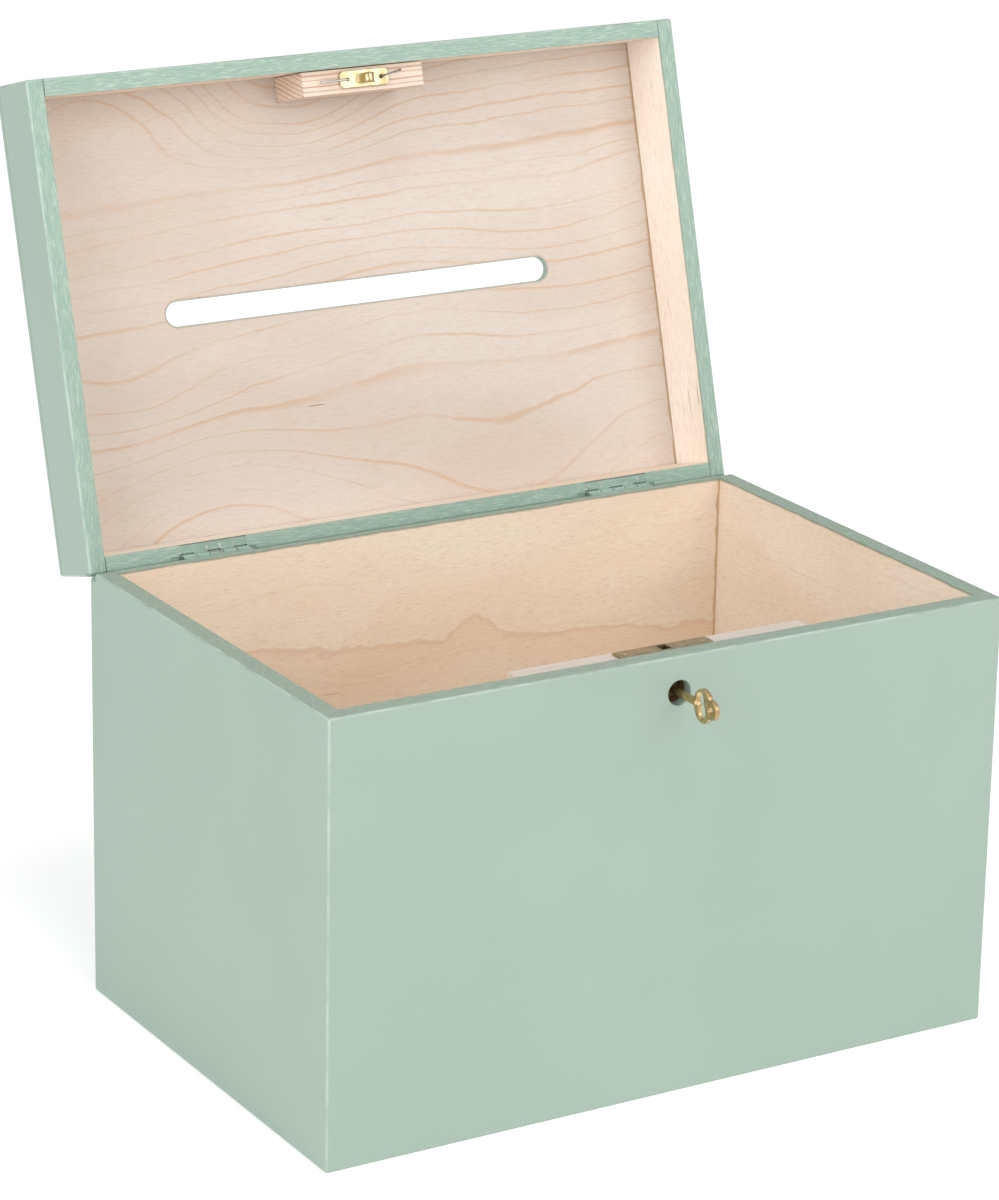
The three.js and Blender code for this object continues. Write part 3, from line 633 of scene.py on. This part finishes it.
lid_joint = 0.0003
panel_thickness = 0.003
rail_thickness = 0.0072
lid_rim = rim + 0.0004
lid_top = lid_rim + 0.0296
rail_top = lid_top - panel_thickness - lid_joint
rail_inside = half_width - rail_thickness
slot_reach = 0.085
slot_half = 0.005
shutting = Matrix.Rotation(radians(hinge["range_deg"][0]), 4, Vector(hinge["axis"]))
to_shut = Matrix.Translation(hinge_line) @ shutting @ Matrix.Translation(-hinge_line)
lid_shape = {
    "half": (half_width, half_depth),
    "rim": lid_rim,
    "side": -1,
    "paint_reach": 0.0016,
    "bare": (rail_inside + 0.0003, half_depth - rail_thickness + 0.0003),
    "bare_end": lid_top - panel_thickness + 0.0003,
    "streaks": 0.75,
    "rim_paint": rgb(140, 166, 153),
    "shaded_groove": 0.0019,
}
panel_shape = dict(lid_shape, slot=(slot_reach, slot_half))
panel_figure = {
    "axes": (0, 1),
    "way": -1.0,
    "start": half_depth - rail_thickness + 0.01,
    "slope": 0.05,
    "hills": (
        (-0.075, 0.098, 0.085, 0.062, 0.052),
        (-0.118, -0.092, 0.085, 0.050, 0.034),
        (-0.020, -0.078, 0.060, 0.040, -0.016),
        (0.020, 0.015, 0.085, 0.050, 0.008),
        (0.066, 0.096, 0.085, 0.060, -0.026),
        (-0.110, 0.030, 0.060, 0.040, -0.010),
        (0.100, -0.010, 0.080, 0.050, -0.007),
    ),
    "wander": 0.009,
    "lines": (50, 250),
    "line_width": 0.0011,
    "contrast": 0.52,
    "flecks": 0.82,
    "seed": 61.0,
    # Painted shade: the panel's birch is a darker tone than the same birch inside the case, to even out the
    # stronger light the panel gets.
    "pale": rgb(210, 199, 189),
    "warm": rgb(204, 190, 178),
    "glue": ((0, rail_inside - 0.0012, 0.003, 1),),
}
panel_finish = painted_birch("lid panel", panel_shape, 0, panel_figure, to_shut)


def open_with_lid(piece):
    """Turns a piece of the lid, modelled shut, to the lid's place at rest, which is open."""
    bpy.ops.object.select_all(action="DESELECT")
    piece.select_set(True)
    bpy.context.view_layer.objects.active = piece
    piece.matrix_world = to_shut.inverted()
    bpy.ops.object.transform_apply(location=True, rotation=True, scale=True)


panel = new_block("lid_panel", (-half_width, -half_depth, rail_top + lid_joint),
                  (half_width, half_depth, lid_top))
soften(panel, round_over, 4, lambda edge: lies(edge, z=lid_top)
       or (len({round(corner.co.z, 5) for corner in edge.verts}) == 2))
combine(panel, new_block("saw", (-slot_reach, -slot_half, rail_top - overcut),
                         (slot_reach, slot_half, lid_top + overcut)))
for end in (-slot_reach, slot_reach):
    combine(panel, new_bar("drill", slot_half, (end, 0, rail_top - overcut), (end, 0, lid_top + overcut), 48))
open_with_lid(panel)
complete(panel, panel_finish, "lid", "mint_painted_plywood", "lid_top_panel")

# ---- Lid rails ----
# Four strips of 7 mm birch plywood on edge, glued under the panel: the side rails run the full
# depth, the front and back rails between them. The back rail is cut out for the hinges.

rail_end = rail_inside - lid_joint
lid_leaf_high = lid_rim + 0.0013
# Painted light: the lid's side rails take a paler tone of the same birch, brightening their shaded inner
# faces.
rail_figure = dict(side_figure, seed=71.0, pale=rgb(253, 245, 236), warm=rgb(250, 237, 223), contrast=0.12)
cross_figure = dict(front_figure, seed=81.0, contrast=0.2)
rail_finish = painted_birch("lid side rails", lid_shape, 1, rail_figure, to_shut)
cross_finish = painted_birch("lid front and back rails", lid_shape, 0, cross_figure, to_shut)
for side, name in ((-1, "left"), (1, "right")):
    low_x, high_x = sorted((side * half_width, side * rail_inside))
    strip = new_block(f"lid_{name}_strip", (low_x, -half_depth, lid_rim), (high_x, half_depth, rail_top))
    soften(strip, round_over, 4, lambda edge: not lies(edge, z=rail_top) and (
        lies(edge, x=side * half_width) or lies(edge, y=-half_depth, z=lid_rim)
        or lies(edge, y=half_depth, z=lid_rim)))
    soften(strip, inner_round, 2, lambda edge: lies(edge, x=side * rail_inside, z=lid_rim))
    open_with_lid(strip)
    complete(strip, rail_finish, "lid", "mint_painted_plywood", f"lid_{name}_rail")

lid_front = new_block("lid_front_strip", (-rail_end, -half_depth, lid_rim),
                      (rail_end, rail_thickness - half_depth, rail_top))
soften(lid_front, round_over, 4, lambda edge: lies(edge, y=-half_depth, z=lid_rim))
soften(lid_front, inner_round, 2, lambda edge: lies(edge, y=rail_thickness - half_depth, z=lid_rim))
open_with_lid(lid_front)
complete(lid_front, cross_finish, "lid", "mint_painted_plywood", "lid_front_rail")

lid_back = new_block("lid_back_strip", (-rail_end, half_depth - rail_thickness, lid_rim),
                     (rail_end, half_depth, rail_top))
soften(lid_back, 0.0009, 1, lambda edge: lies(edge, y=half_depth, z=lid_rim))
soften(lid_back, inner_round, 2, lambda edge: lies(edge, y=half_depth - rail_thickness, z=lid_rim))
cut_pockets(lid_back, lid_rim - 0.01, lid_leaf_high)
open_with_lid(lid_back)
complete(lid_back, cross_finish, "lid", "mint_painted_plywood", "lid_back_rail")

# ---- Lock block ----
# A 10 mm strip of sanded birch plywood glued behind the front wall, a little below the rim. A
# pocket cut in it from the front wall takes the lock's case.

block_low, block_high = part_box("lock_block")
case_low, case_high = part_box("lock_cap")
case_room = 0.0004
block_figure = dict(front_figure, seed=91.0, contrast=0.3)
block_finish, tree, shader = new_finish("sanded birch block")
place = tree.nodes.new("ShaderNodeTexCoord").outputs["Object"]
wood, pores = birch_figure(tree, place, block_figure)
plies = ramp(tree, grain(tree, place, (30, 900, 30), 1.0, 0.4, 12.0), 0.5, 0.62)
height_on_block = make(tree, "SeparateXYZ", {}, place).outputs[2]
sawn_top = ramp(tree, height_on_block, block_high.z - 0.0004, block_high.z - 0.0001)
sanded = cover(tree, maths(tree, "MULTIPLY", plies, 0.25), rgb(208, 197, 188), rgb(186, 160, 136))
tree.links.new(cover(tree, sawn_top, wood, sanded), shader.inputs["Base Color"])
shader.inputs["Roughness"].default_value = 0.7
bump(tree, shader, pores, 0.0001)

lock_block = new_block("lock_block_board", block_low, block_high)
soften(lock_block, 0.0003, 2, lambda edge: not lies(edge, y=block_low.y))
combine(lock_block, new_block("chisel", (case_low.x - case_room, block_low.y - 0.01, case_low.z - case_room),
                              (case_high.x + case_room, case_high.y + case_room, block_high.z + 0.01)))
complete(lock_block, block_finish, "case", "birch_wood", "lock_block")

# ---- Lock case and face plate ----
# The case is folded from dull brass sheet and closed by a cap at the back. Its face plate lies
# on the block, open in the middle for the strike's tongue, and is held by two pins.

sheet = 0.0007
plate_low, plate_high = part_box("lock_case")
plate_thickness = 0.0011
plate_width = 0.0066
plate_front = front_inside + 0.0008
plate_middle = plate_front + plate_width / 2
plate_bottom = plate_high.z - plate_thickness
pass_half = (0.0021, 0.0025)
pin_places = (-0.0171, 0.0171)
pin_room = 0.0009
case_front = plate_middle * 2 - case_high.y
case_hole = 0.0019
case_slot_half = 0.00095
case_slot_low = key_z - 0.00475
punch_over = 0.001


def sheet_metal(name, bright, dull, dark, rough, scratch_axis):
    """Rolled sheet: a soft cloudy tarnish, fine scratches along the roll, and dark freckles."""
    finish, tree, shader = new_finish(name)
    place = tree.nodes.new("ShaderNodeTexCoord").outputs["Object"]
    cloud = ramp(tree, grain(tree, place, (240, 240, 240), 3.0, 0.6, 3.0), 0.35, 0.68)
    scratch = grain(tree, place, stretched(scratch_axis, 160, 5200), 2.0, 0.6, 6.0)
    freckle = ramp(tree, grain(tree, place, (900, 900, 900), 2.0, 0.6, 14.0), 0.66, 0.74)
    colour = cover(tree, cloud, bright, dull)
    colour = cover(tree, maths(tree, "MULTIPLY", ramp(tree, scratch, 0.45, 0.75), 0.35), colour, dull)
    colour = cover(tree, maths(tree, "MULTIPLY", freckle, 0.55), colour, dark)
    tree.links.new(colour, shader.inputs["Base Color"])
    shader.inputs["Metallic"].default_value = 1.0
    low, high = rough
    roughness = make(tree, "MapRange", {}, cloud, 0.0, 1.0, low, high).outputs[0]
    tree.links.new(roughness, shader.inputs["Roughness"])
    bump(tree, shader, scratch, 0.00003, 0.3)
    return finish


aged_brass = sheet_metal("dull brass sheet", (0.47, 0.38, 0.23, 1), (0.38, 0.30, 0.18, 1),
                         (0.16, 0.12, 0.07, 1), (0.36, 0.48), 0)
brass_pin = sheet_metal("pale brass pins", (0.78, 0.66, 0.42, 1), (0.55, 0.45, 0.28, 1),
                        (0.2, 0.16, 0.1, 1), (0.3, 0.45), 0)
bright_steel = sheet_metal("bright drawn steel", (0.62, 0.62, 0.63, 1), (0.42, 0.42, 0.43, 1),
                           (0.12, 0.11, 0.10, 1), (0.22, 0.4), 2)

lock_case = new_block("lock_face_and_case", (plate_low.x, plate_front, plate_bottom),
                      (plate_high.x, plate_front + plate_width, plate_high.z))
soften(lock_case, 0.0002, 2, lambda edge: not lies(edge, z=plate_bottom))
folded = new_block("folded_case", (case_low.x, case_front, case_low.z),
                   (case_high.x, case_high.y - sheet, plate_bottom + 0.0002))
soften(folded, 0.0005, 3, lambda edge: lies(edge, y=case_front) and not lies(edge, z=plate_bottom + 0.0002))
combine(folded, new_block("hollow", (case_low.x + sheet, case_front + sheet, case_low.z + sheet),
                          (case_high.x - sheet, case_high.y + 0.01, plate_bottom)))
combine(lock_case, folded, "UNION")
combine(lock_case, new_block("punch", (-pass_half[0], plate_middle - pass_half[1], plate_bottom - punch_over),
                             (pass_half[0], plate_middle + pass_half[1], plate_high.z + punch_over)))
combine(lock_case, new_bar("drill", case_hole, (0, case_front - punch_over, key_z),
                           (0, case_front + sheet + punch_over, key_z), 32))
combine(lock_case, new_block("slot file", (-case_slot_half, case_front - punch_over, case_slot_low),
                             (case_slot_half, case_front + sheet + punch_over, key_z)))
for x in pin_places:
    combine(lock_case, new_bar("drill", pin_room, (x, plate_middle, plate_bottom - punch_over),
                               (x, plate_middle, plate_high.z + punch_over), 24))
complete(lock_case, aged_brass, "case", "aged_brass", "lock_case")

pin_radius = 0.0006
pin_length = 0.012
pin_neck = plate_high.z - 0.0004
for x, name in zip(pin_places, ("left", "right")):
    pin = new_bar(f"face_pin_{name}", pin_radius, (x, plate_middle, plate_high.z - pin_length),
                  (x, plate_middle, pin_neck), 24)
    pick(pin, "FACE", lambda face: lies(face, z=pin_neck))
    bpy.ops.mesh.extrude_region_move()
    bpy.ops.transform.resize(value=(1.6, 1.6, 1))
    bpy.ops.mesh.extrude_region_move(TRANSFORM_OT_translate={"value": (0, 0, 0.0003)})
    bpy.ops.mesh.bevel(offset=0.00025, segments=3, affect="EDGES")
    bpy.ops.object.mode_set(mode="OBJECT")
    complete(pin, brass_pin, "case", "brass", f"lock_pin_{name}")

for node, finish in (("lock_cap", aged_brass), ("lock_bolt", brass_pin), ("lock_post", bright_steel),
                     ("lock_spring", bright_steel)):
    frame["nodes"][node].data.materials.clear()
    frame["nodes"][node].data.materials.append(finish)

# ---- Key ----
# A small cast brass pipe key: a flat rounded bow with a curled window and an eye at its end, on
# a hollow shaft with a plain bit. It stays in the lock, its bow upright.

shaft_radius = 0.00155
shaft_bore = 0.00095
bow_middle = -half_depth - 0.0166
bow_half = (0.0057, 0.00675)
bow_half_thickness = 0.0010
window_half = (0.0023, 0.0033)
lobe_radius = 0.0038
eye_middle = bow_middle - 0.0056
eye_radius = 0.0015
bit_half = (0.0006, 0.0011)
bit_drop = 0.0044
key_tip = plate_middle + 0.0015
cast_grain = 0.00014


def new_oval(name, half_y, half_z, middle_y, middle_z, half_x):
    """An upright oval disc, square to the front."""
    oval = new_bar(name, 1.0, (-half_x, 0, 0), (half_x, 0, 0), 64)
    pick(oval, "FACE", lambda face: True)
    bpy.ops.transform.resize(value=(1, half_y, half_z))
    bpy.ops.transform.translate(value=(0, middle_y, middle_z))
    bpy.ops.object.mode_set(mode="OBJECT")
    return oval


key = new_oval("pipe_key", *bow_half, bow_middle, key_z, bow_half_thickness)
combine(key, new_oval("end lobe", lobe_radius, lobe_radius, eye_middle, key_z, bow_half_thickness), "UNION")
for way in (-1, 1):
    window_middle = bow_middle + 0.0008 + way * 0.0006
    combine(key, new_oval("window", *window_half, window_middle, key_z + way * 0.0020, overcut))
combine(key, new_oval("eye", eye_radius, eye_radius, eye_middle - 0.0001, key_z, overcut))
combine(key, new_bar("shaft", shaft_radius, (0, bow_middle + 0.004, key_z), (0, key_tip, key_z), 32), "UNION")
combine(key, new_block("bit", (-bit_half[0], plate_middle - bit_half[1], key_z - bit_drop),
                       (bit_half[0], plate_middle + bit_half[1], key_z)), "UNION")
combine(key, new_bar("drill", shaft_bore, (0, front_inside, key_z), (0, key_tip + overcut, key_z), 24))
bpy.context.view_layer.objects.active = key
cast = key.modifiers.new("cast", "REMESH")
cast.mode = "VOXEL"
cast.voxel_size = cast_grain
bpy.ops.object.modifier_apply(modifier=cast.name)
worn = key.modifiers.new("worn", "SMOOTH")
worn.factor = 0.5
worn.iterations = 36
bpy.ops.object.modifier_apply(modifier=worn.name)
key_brass = sheet_metal("cast yellow brass", (0.70, 0.50, 0.26, 1), (0.44, 0.30, 0.14, 1),
                        (0.16, 0.10, 0.05, 1), (0.24, 0.42), 1)
complete(key, key_brass, "key", "brass", "key", crease=180)

# ---- Strike block ----
# A short strip of pine glued behind the lid's front rail, with close red and cream rings along
# it and their ends showing at its sawn ends.

strike_low = Vector((-0.028, rail_thickness + lid_joint - half_depth, lid_rim + 0.0022))
strike_high = Vector((0.028, strike_low.y + 0.010, rail_top))
pine, tree, shader = new_finish("striped pine")
place = tree.nodes.new("ShaderNodeTexCoord").outputs["Object"]
move, spin, _ = to_shut.decompose()
place = make(tree, "Mapping", {}, place, move, spin.to_euler(), (1, 1, 1)).outputs[0]
x, y, z = make(tree, "SeparateXYZ", {}, place).outputs
bend = grain(tree, place, (25, 60, 60), 2.0, 0.5, 3.0)
across = maths(tree, "MULTIPLY_ADD", z, 0.35, y)
across = maths(tree, "MULTIPLY_ADD", bend, 0.0012, across)
uneven = make(tree, "TexNoise", {"noise_dimensions": "1D"}, None, across, 420.0, 1.0, 0.5).outputs[0]
ring = maths(tree, "FRACT", maths(tree, "MULTIPLY_ADD", uneven, 1.2, maths(tree, "DIVIDE", across, 0.0021)))
late = maths(tree, "MULTIPLY", ramp(tree, ring, 0.58, 0.90), ramp(tree, ring, 1.0, 0.95))
fibre = grain(tree, place, (60, 1500, 900), 3.0, 0.6, 8.0)
colour = cover(tree, maths(tree, "MULTIPLY", late, 0.8), rgb(224, 205, 187), rgb(178, 128, 100))
dark_fibre = maths(tree, "MULTIPLY", ramp(tree, fibre, 0.5, 0.75), 0.25)
colour = cover(tree, dark_fibre, colour, rgb(160, 108, 80))
tree.links.new(colour, shader.inputs["Base Color"])
shader.inputs["Roughness"].default_value = 0.65
bump(tree, shader, fibre, 0.0001)

strike_block = new_block("strike_strip", strike_low, strike_high)
soften(strike_block, 0.0003, 2, lambda edge: not lies(edge, z=strike_high.z))
open_with_lid(strike_block)
complete(strike_block, pine, "lid", "pine_wood", "strike_block")

# ---- Strike plate ----
# A small bright brass plate with its corners clipped. A tongue with an eye is folded down beside
# the window that it was cut from, and two wire nails through the plate are bent over flat.

strike_face = strike_low.z
strike_top = strike_face - 0.0003
strike_bottom = strike_top - 0.0008
strike_half = 0.0112
tongue_left, tongue_right = -0.00095, -0.00005
tongue_half = 0.0021
tongue_tip = strike_bottom - (strike_top - 0.0008 - (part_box("lock_bolt")[1].z - 0.0019 - 0.0003 - 0.0009))
nail_places = (-0.0078, 0.0078)

strike = new_block("strike_plate_sheet", (-strike_half, plate_middle - 0.0034, strike_bottom),
                   (strike_half, plate_middle + 0.0034, strike_top))
soften(strike, 0.0012, 1, lambda edge: len({round(corner.co.z, 5) for corner in edge.verts}) == 2)
soften(strike, 0.0002, 2, lambda edge: lies(edge, z=strike_bottom))
combine(strike, new_block("punch", (tongue_right, plate_middle - tongue_half, strike_bottom - 0.001),
                          (tongue_right + 0.0046, plate_middle + tongue_half, strike_top + 0.001)))
tongue = new_block("tongue", (tongue_left, plate_middle - tongue_half, tongue_tip),
                   (tongue_right, plate_middle + tongue_half, strike_top - 0.0001))
soften(tongue, 0.0012, 3, lambda edge: lies(edge, z=tongue_tip, y=plate_middle - tongue_half)
       or lies(edge, z=tongue_tip, y=plate_middle + tongue_half))
combine(strike, tongue, "UNION")
combine(strike, new_block("punch", (tongue_left - 0.001, plate_middle - 0.0013, tongue_tip + 0.0009),
                          (tongue_right + 0.001, plate_middle + 0.0013, tongue_tip + 0.0034)))
for x in nail_places:
    combine(strike, new_bar("drill", 0.0009, (x, plate_middle, strike_bottom - 0.001),
                            (x, plate_middle, strike_top + 0.001), 24))
open_with_lid(strike)
strike_brass = sheet_metal("bright brass sheet", (0.72, 0.62, 0.38, 1), (0.54, 0.44, 0.24, 1),
                           (0.3, 0.2, 0.08, 1), (0.26, 0.42), 0)
complete(strike, strike_brass, "lid", "brass", "strike_plate")

nail_stand = 0.00075
dark_steel = sheet_metal("dark wire", (0.30, 0.28, 0.27, 1), (0.16, 0.15, 0.14, 1),
                         (0.05, 0.04, 0.04, 1), (0.3, 0.5), 0)
nails = {
    "left": {"side": -1, "reach": 0.0123, "swing": 0.0002, "radius": 0.0005, "finish": bright_steel},
    "right": {"side": 1, "reach": 0.0089, "swing": -0.0019, "radius": 0.00036, "finish": dark_steel},
}
for (name, nail), x in zip(nails.items(), nail_places):
    side = nail["side"]
    heading = Vector((side * nail["reach"], nail["swing"], 0)).normalized()
    wire = new_bar(f"bent_nail_{name}", nail["radius"], (x, plate_middle, strike_face + 0.005),
                   (x, plate_middle, strike_bottom), 16)
    pick(wire, "FACE", lambda face: lies(face, z=strike_bottom))
    bend_at = Vector((x, plate_middle, strike_bottom)) + heading * nail_stand
    bpy.ops.mesh.spin(steps=6, angle=pi / 2, center=bend_at, axis=Vector((0, 0, 1)).cross(heading))
    rest_of_reach = heading * (nail["reach"] - nail_stand)
    bpy.ops.mesh.extrude_region_move(TRANSFORM_OT_translate={"value": rest_of_reach})
    bpy.ops.mesh.extrude_region_move()
    bpy.ops.transform.resize(value=(1.5, 1.5, 1.5))
    bpy.ops.mesh.extrude_region_move(TRANSFORM_OT_translate={"value": heading * 0.0003})
    bpy.ops.mesh.select_all(action="SELECT")
    bpy.ops.mesh.normals_make_consistent(inside=False)
    bpy.ops.object.mode_set(mode="OBJECT")
    open_with_lid(wire)
    complete(wire, nail["finish"], "lid", "steel", f"strike_nail_{name}")

# ---- Hinges ----
# Two small steel butt hinges of five knuckles, let into the back edges and held by brads. They
# were fitted before painting, so the paint covers them, and has chipped where knuckles rub.

hinge_half = 0.015
barrel = 0.0016
pin_bore = 0.0009
knuckle_round = 0.00018
pitch = 0.006
gap = 0.0003
painted_steel, tree, shader = new_finish("painted hinge steel")
place = tree.nodes.new("ShaderNodeTexCoord").outputs["Object"]
x, y, z = make(tree, "SeparateXYZ", {}, place).outputs
chip_noise = grain(tree, place, (700, 700, 700), 3.0, 0.6, 5.0)
in_step = maths(tree, "ABSOLUTE", maths(tree, "SUBTRACT", maths(tree, "FRACT", maths(
    tree, "DIVIDE", maths(tree, "ADD", x, 0.302), pitch)), 0.5))
near_joint = ramp(tree, in_step, 0.40, 0.5)
chips = ramp(tree, maths(tree, "MULTIPLY_ADD", near_joint, 0.15, chip_noise), 0.66, 0.69)
rubbed = ramp(tree, maths(tree, "ABSOLUTE", maths(tree, "ADD", x, 0.0945)), 0.0033, 0.0028)
off_line = make(tree, "VectorMath", {"operation": "DISTANCE"}, make(
    tree, "CombineXYZ", {}, 0.0, y, z).outputs[0], (0.0, hinge_line.y, hinge_line.z)).outputs["Value"]
rubbed = maths(tree, "MULTIPLY", rubbed, ramp(tree, off_line, 0.00185, 0.0017))
rubbed = maths(tree, "MULTIPLY", rubbed, ramp(tree, chip_noise, 0.42, 0.48))
chips = maths(tree, "MAXIMUM", chips, rubbed)
rust = maths(tree, "MULTIPLY", rubbed, ramp(tree, maths(tree, "ADD", x, 0.0945), 0.001, 0.002))
cloud = ramp(tree, grain(tree, place, (60, 60, 60), 3.0, 0.5, 7.0), 0.3, 0.7)
brushed = ramp(tree, grain(tree, place, (190, 3200, 3200), 3.0, 0.7, 4.0), 0.48, 0.66)
colour = cover(tree, cloud, lid_shape["rim_paint"], rim_shade)
colour = cover(tree, maths(tree, "MULTIPLY", brushed, 0.45), colour, rim_streak)
colour = cover(tree, chips, colour, (0.45, 0.45, 0.45, 1))
colour = cover(tree, maths(tree, "MULTIPLY", rust, 0.8), colour, rgb(110, 40, 30))
tree.links.new(colour, shader.inputs["Base Color"])
tree.links.new(chips, shader.inputs["Metallic"])
chipped_gloss = make(tree, "MapRange", {}, chips, 0.0, 1.0, 0.5, 0.3).outputs[0]
tree.links.new(chipped_gloss, shader.inputs["Roughness"])
bump(tree, shader, maths(tree, "SUBTRACT", chip_noise, chips), 0.00008)


def new_knuckle(start):
    """One rolled knuckle: a short tube with rounded ends."""
    tube = new_bar("knuckle", barrel, (start + gap / 2, hinge_line.y, hinge_line.z),
                   (start + pitch - gap / 2, hinge_line.y, hinge_line.z), 36)
    pick(tube, "FACE", lambda face: len(face.verts) > 4)
    bpy.ops.mesh.inset(thickness=barrel - pin_bore)
    bpy.ops.mesh.bridge_edge_loops()
    bpy.ops.object.mode_set(mode="OBJECT")
    soften(tube, knuckle_round, 2, lambda edge: all(
        abs(Vector((c.co.y - hinge_line.y, c.co.z - hinge_line.z)).length - barrel) < 1e-5
        for c in edge.verts) and abs(edge.verts[0].co.x - edge.verts[1].co.x) < 1e-6)
    return tube


def new_leaf(name, middle, parity, low_z, high_z, far_y, webs):
    """A flat leaf, notched for the other leaf's knuckles, with its own knuckles rolled on."""
    leaf = new_block(name, (middle - hinge_half, hinge_line.y - 0.0053, low_z),
                     (middle + hinge_half, far_y, high_z))
    for index in range(5):
        start = middle - hinge_half + index * pitch
        if index % 2 != parity:
            combine(leaf, new_block("notch", (start - gap / 2, hinge_line.y - barrel - 0.0004, low_z - 0.001),
                                    (start + pitch + gap / 2, half_depth, high_z + 0.001)))
    for index in range(parity, 5, 2):
        start = middle - hinge_half + index * pitch
        if webs:
            web = new_block("web", (start + gap / 2, hinge_line.y - barrel, hinge_line.z),
                            (start + pitch - gap / 2, hinge_line.y - 0.00095, high_z - 0.0001))
            combine(leaf, web, "UNION")
        combine(leaf, new_knuckle(start), "UNION")
    return leaf


leaf_thickness = 0.0009
body_leaf_top = rim - 0.0001
lid_leaf_bottom = lid_rim + 0.0001
for middle, name in zip(hinge_middles, ("left", "right")):
    body_leaf = new_leaf(f"{name}_body_leaf", middle, 0, body_leaf_top - leaf_thickness, body_leaf_top,
                         hinge_line.y - 0.0011, False)
    complete(body_leaf, painted_steel, "case", "painted_steel", f"hinge_{name}_body_leaf")
    lid_leaf = new_leaf(f"{name}_lid_leaf", middle, 1, lid_leaf_bottom, lid_leaf_bottom + leaf_thickness,
                        hinge_line.y, True)
    open_with_lid(lid_leaf)
    complete(lid_leaf, painted_steel, "lid", "painted_steel", f"hinge_{name}_lid_leaf")
    for node in (f"hinge_{name}_pin", *(f"hinge_{name}_{part}_brad_{number}"
                                        for part in ("body", "lid") for number in (1, 2))):
        frame["nodes"][node].data.materials.clear()
        frame["nodes"][node].data.materials.append(bright_steel)
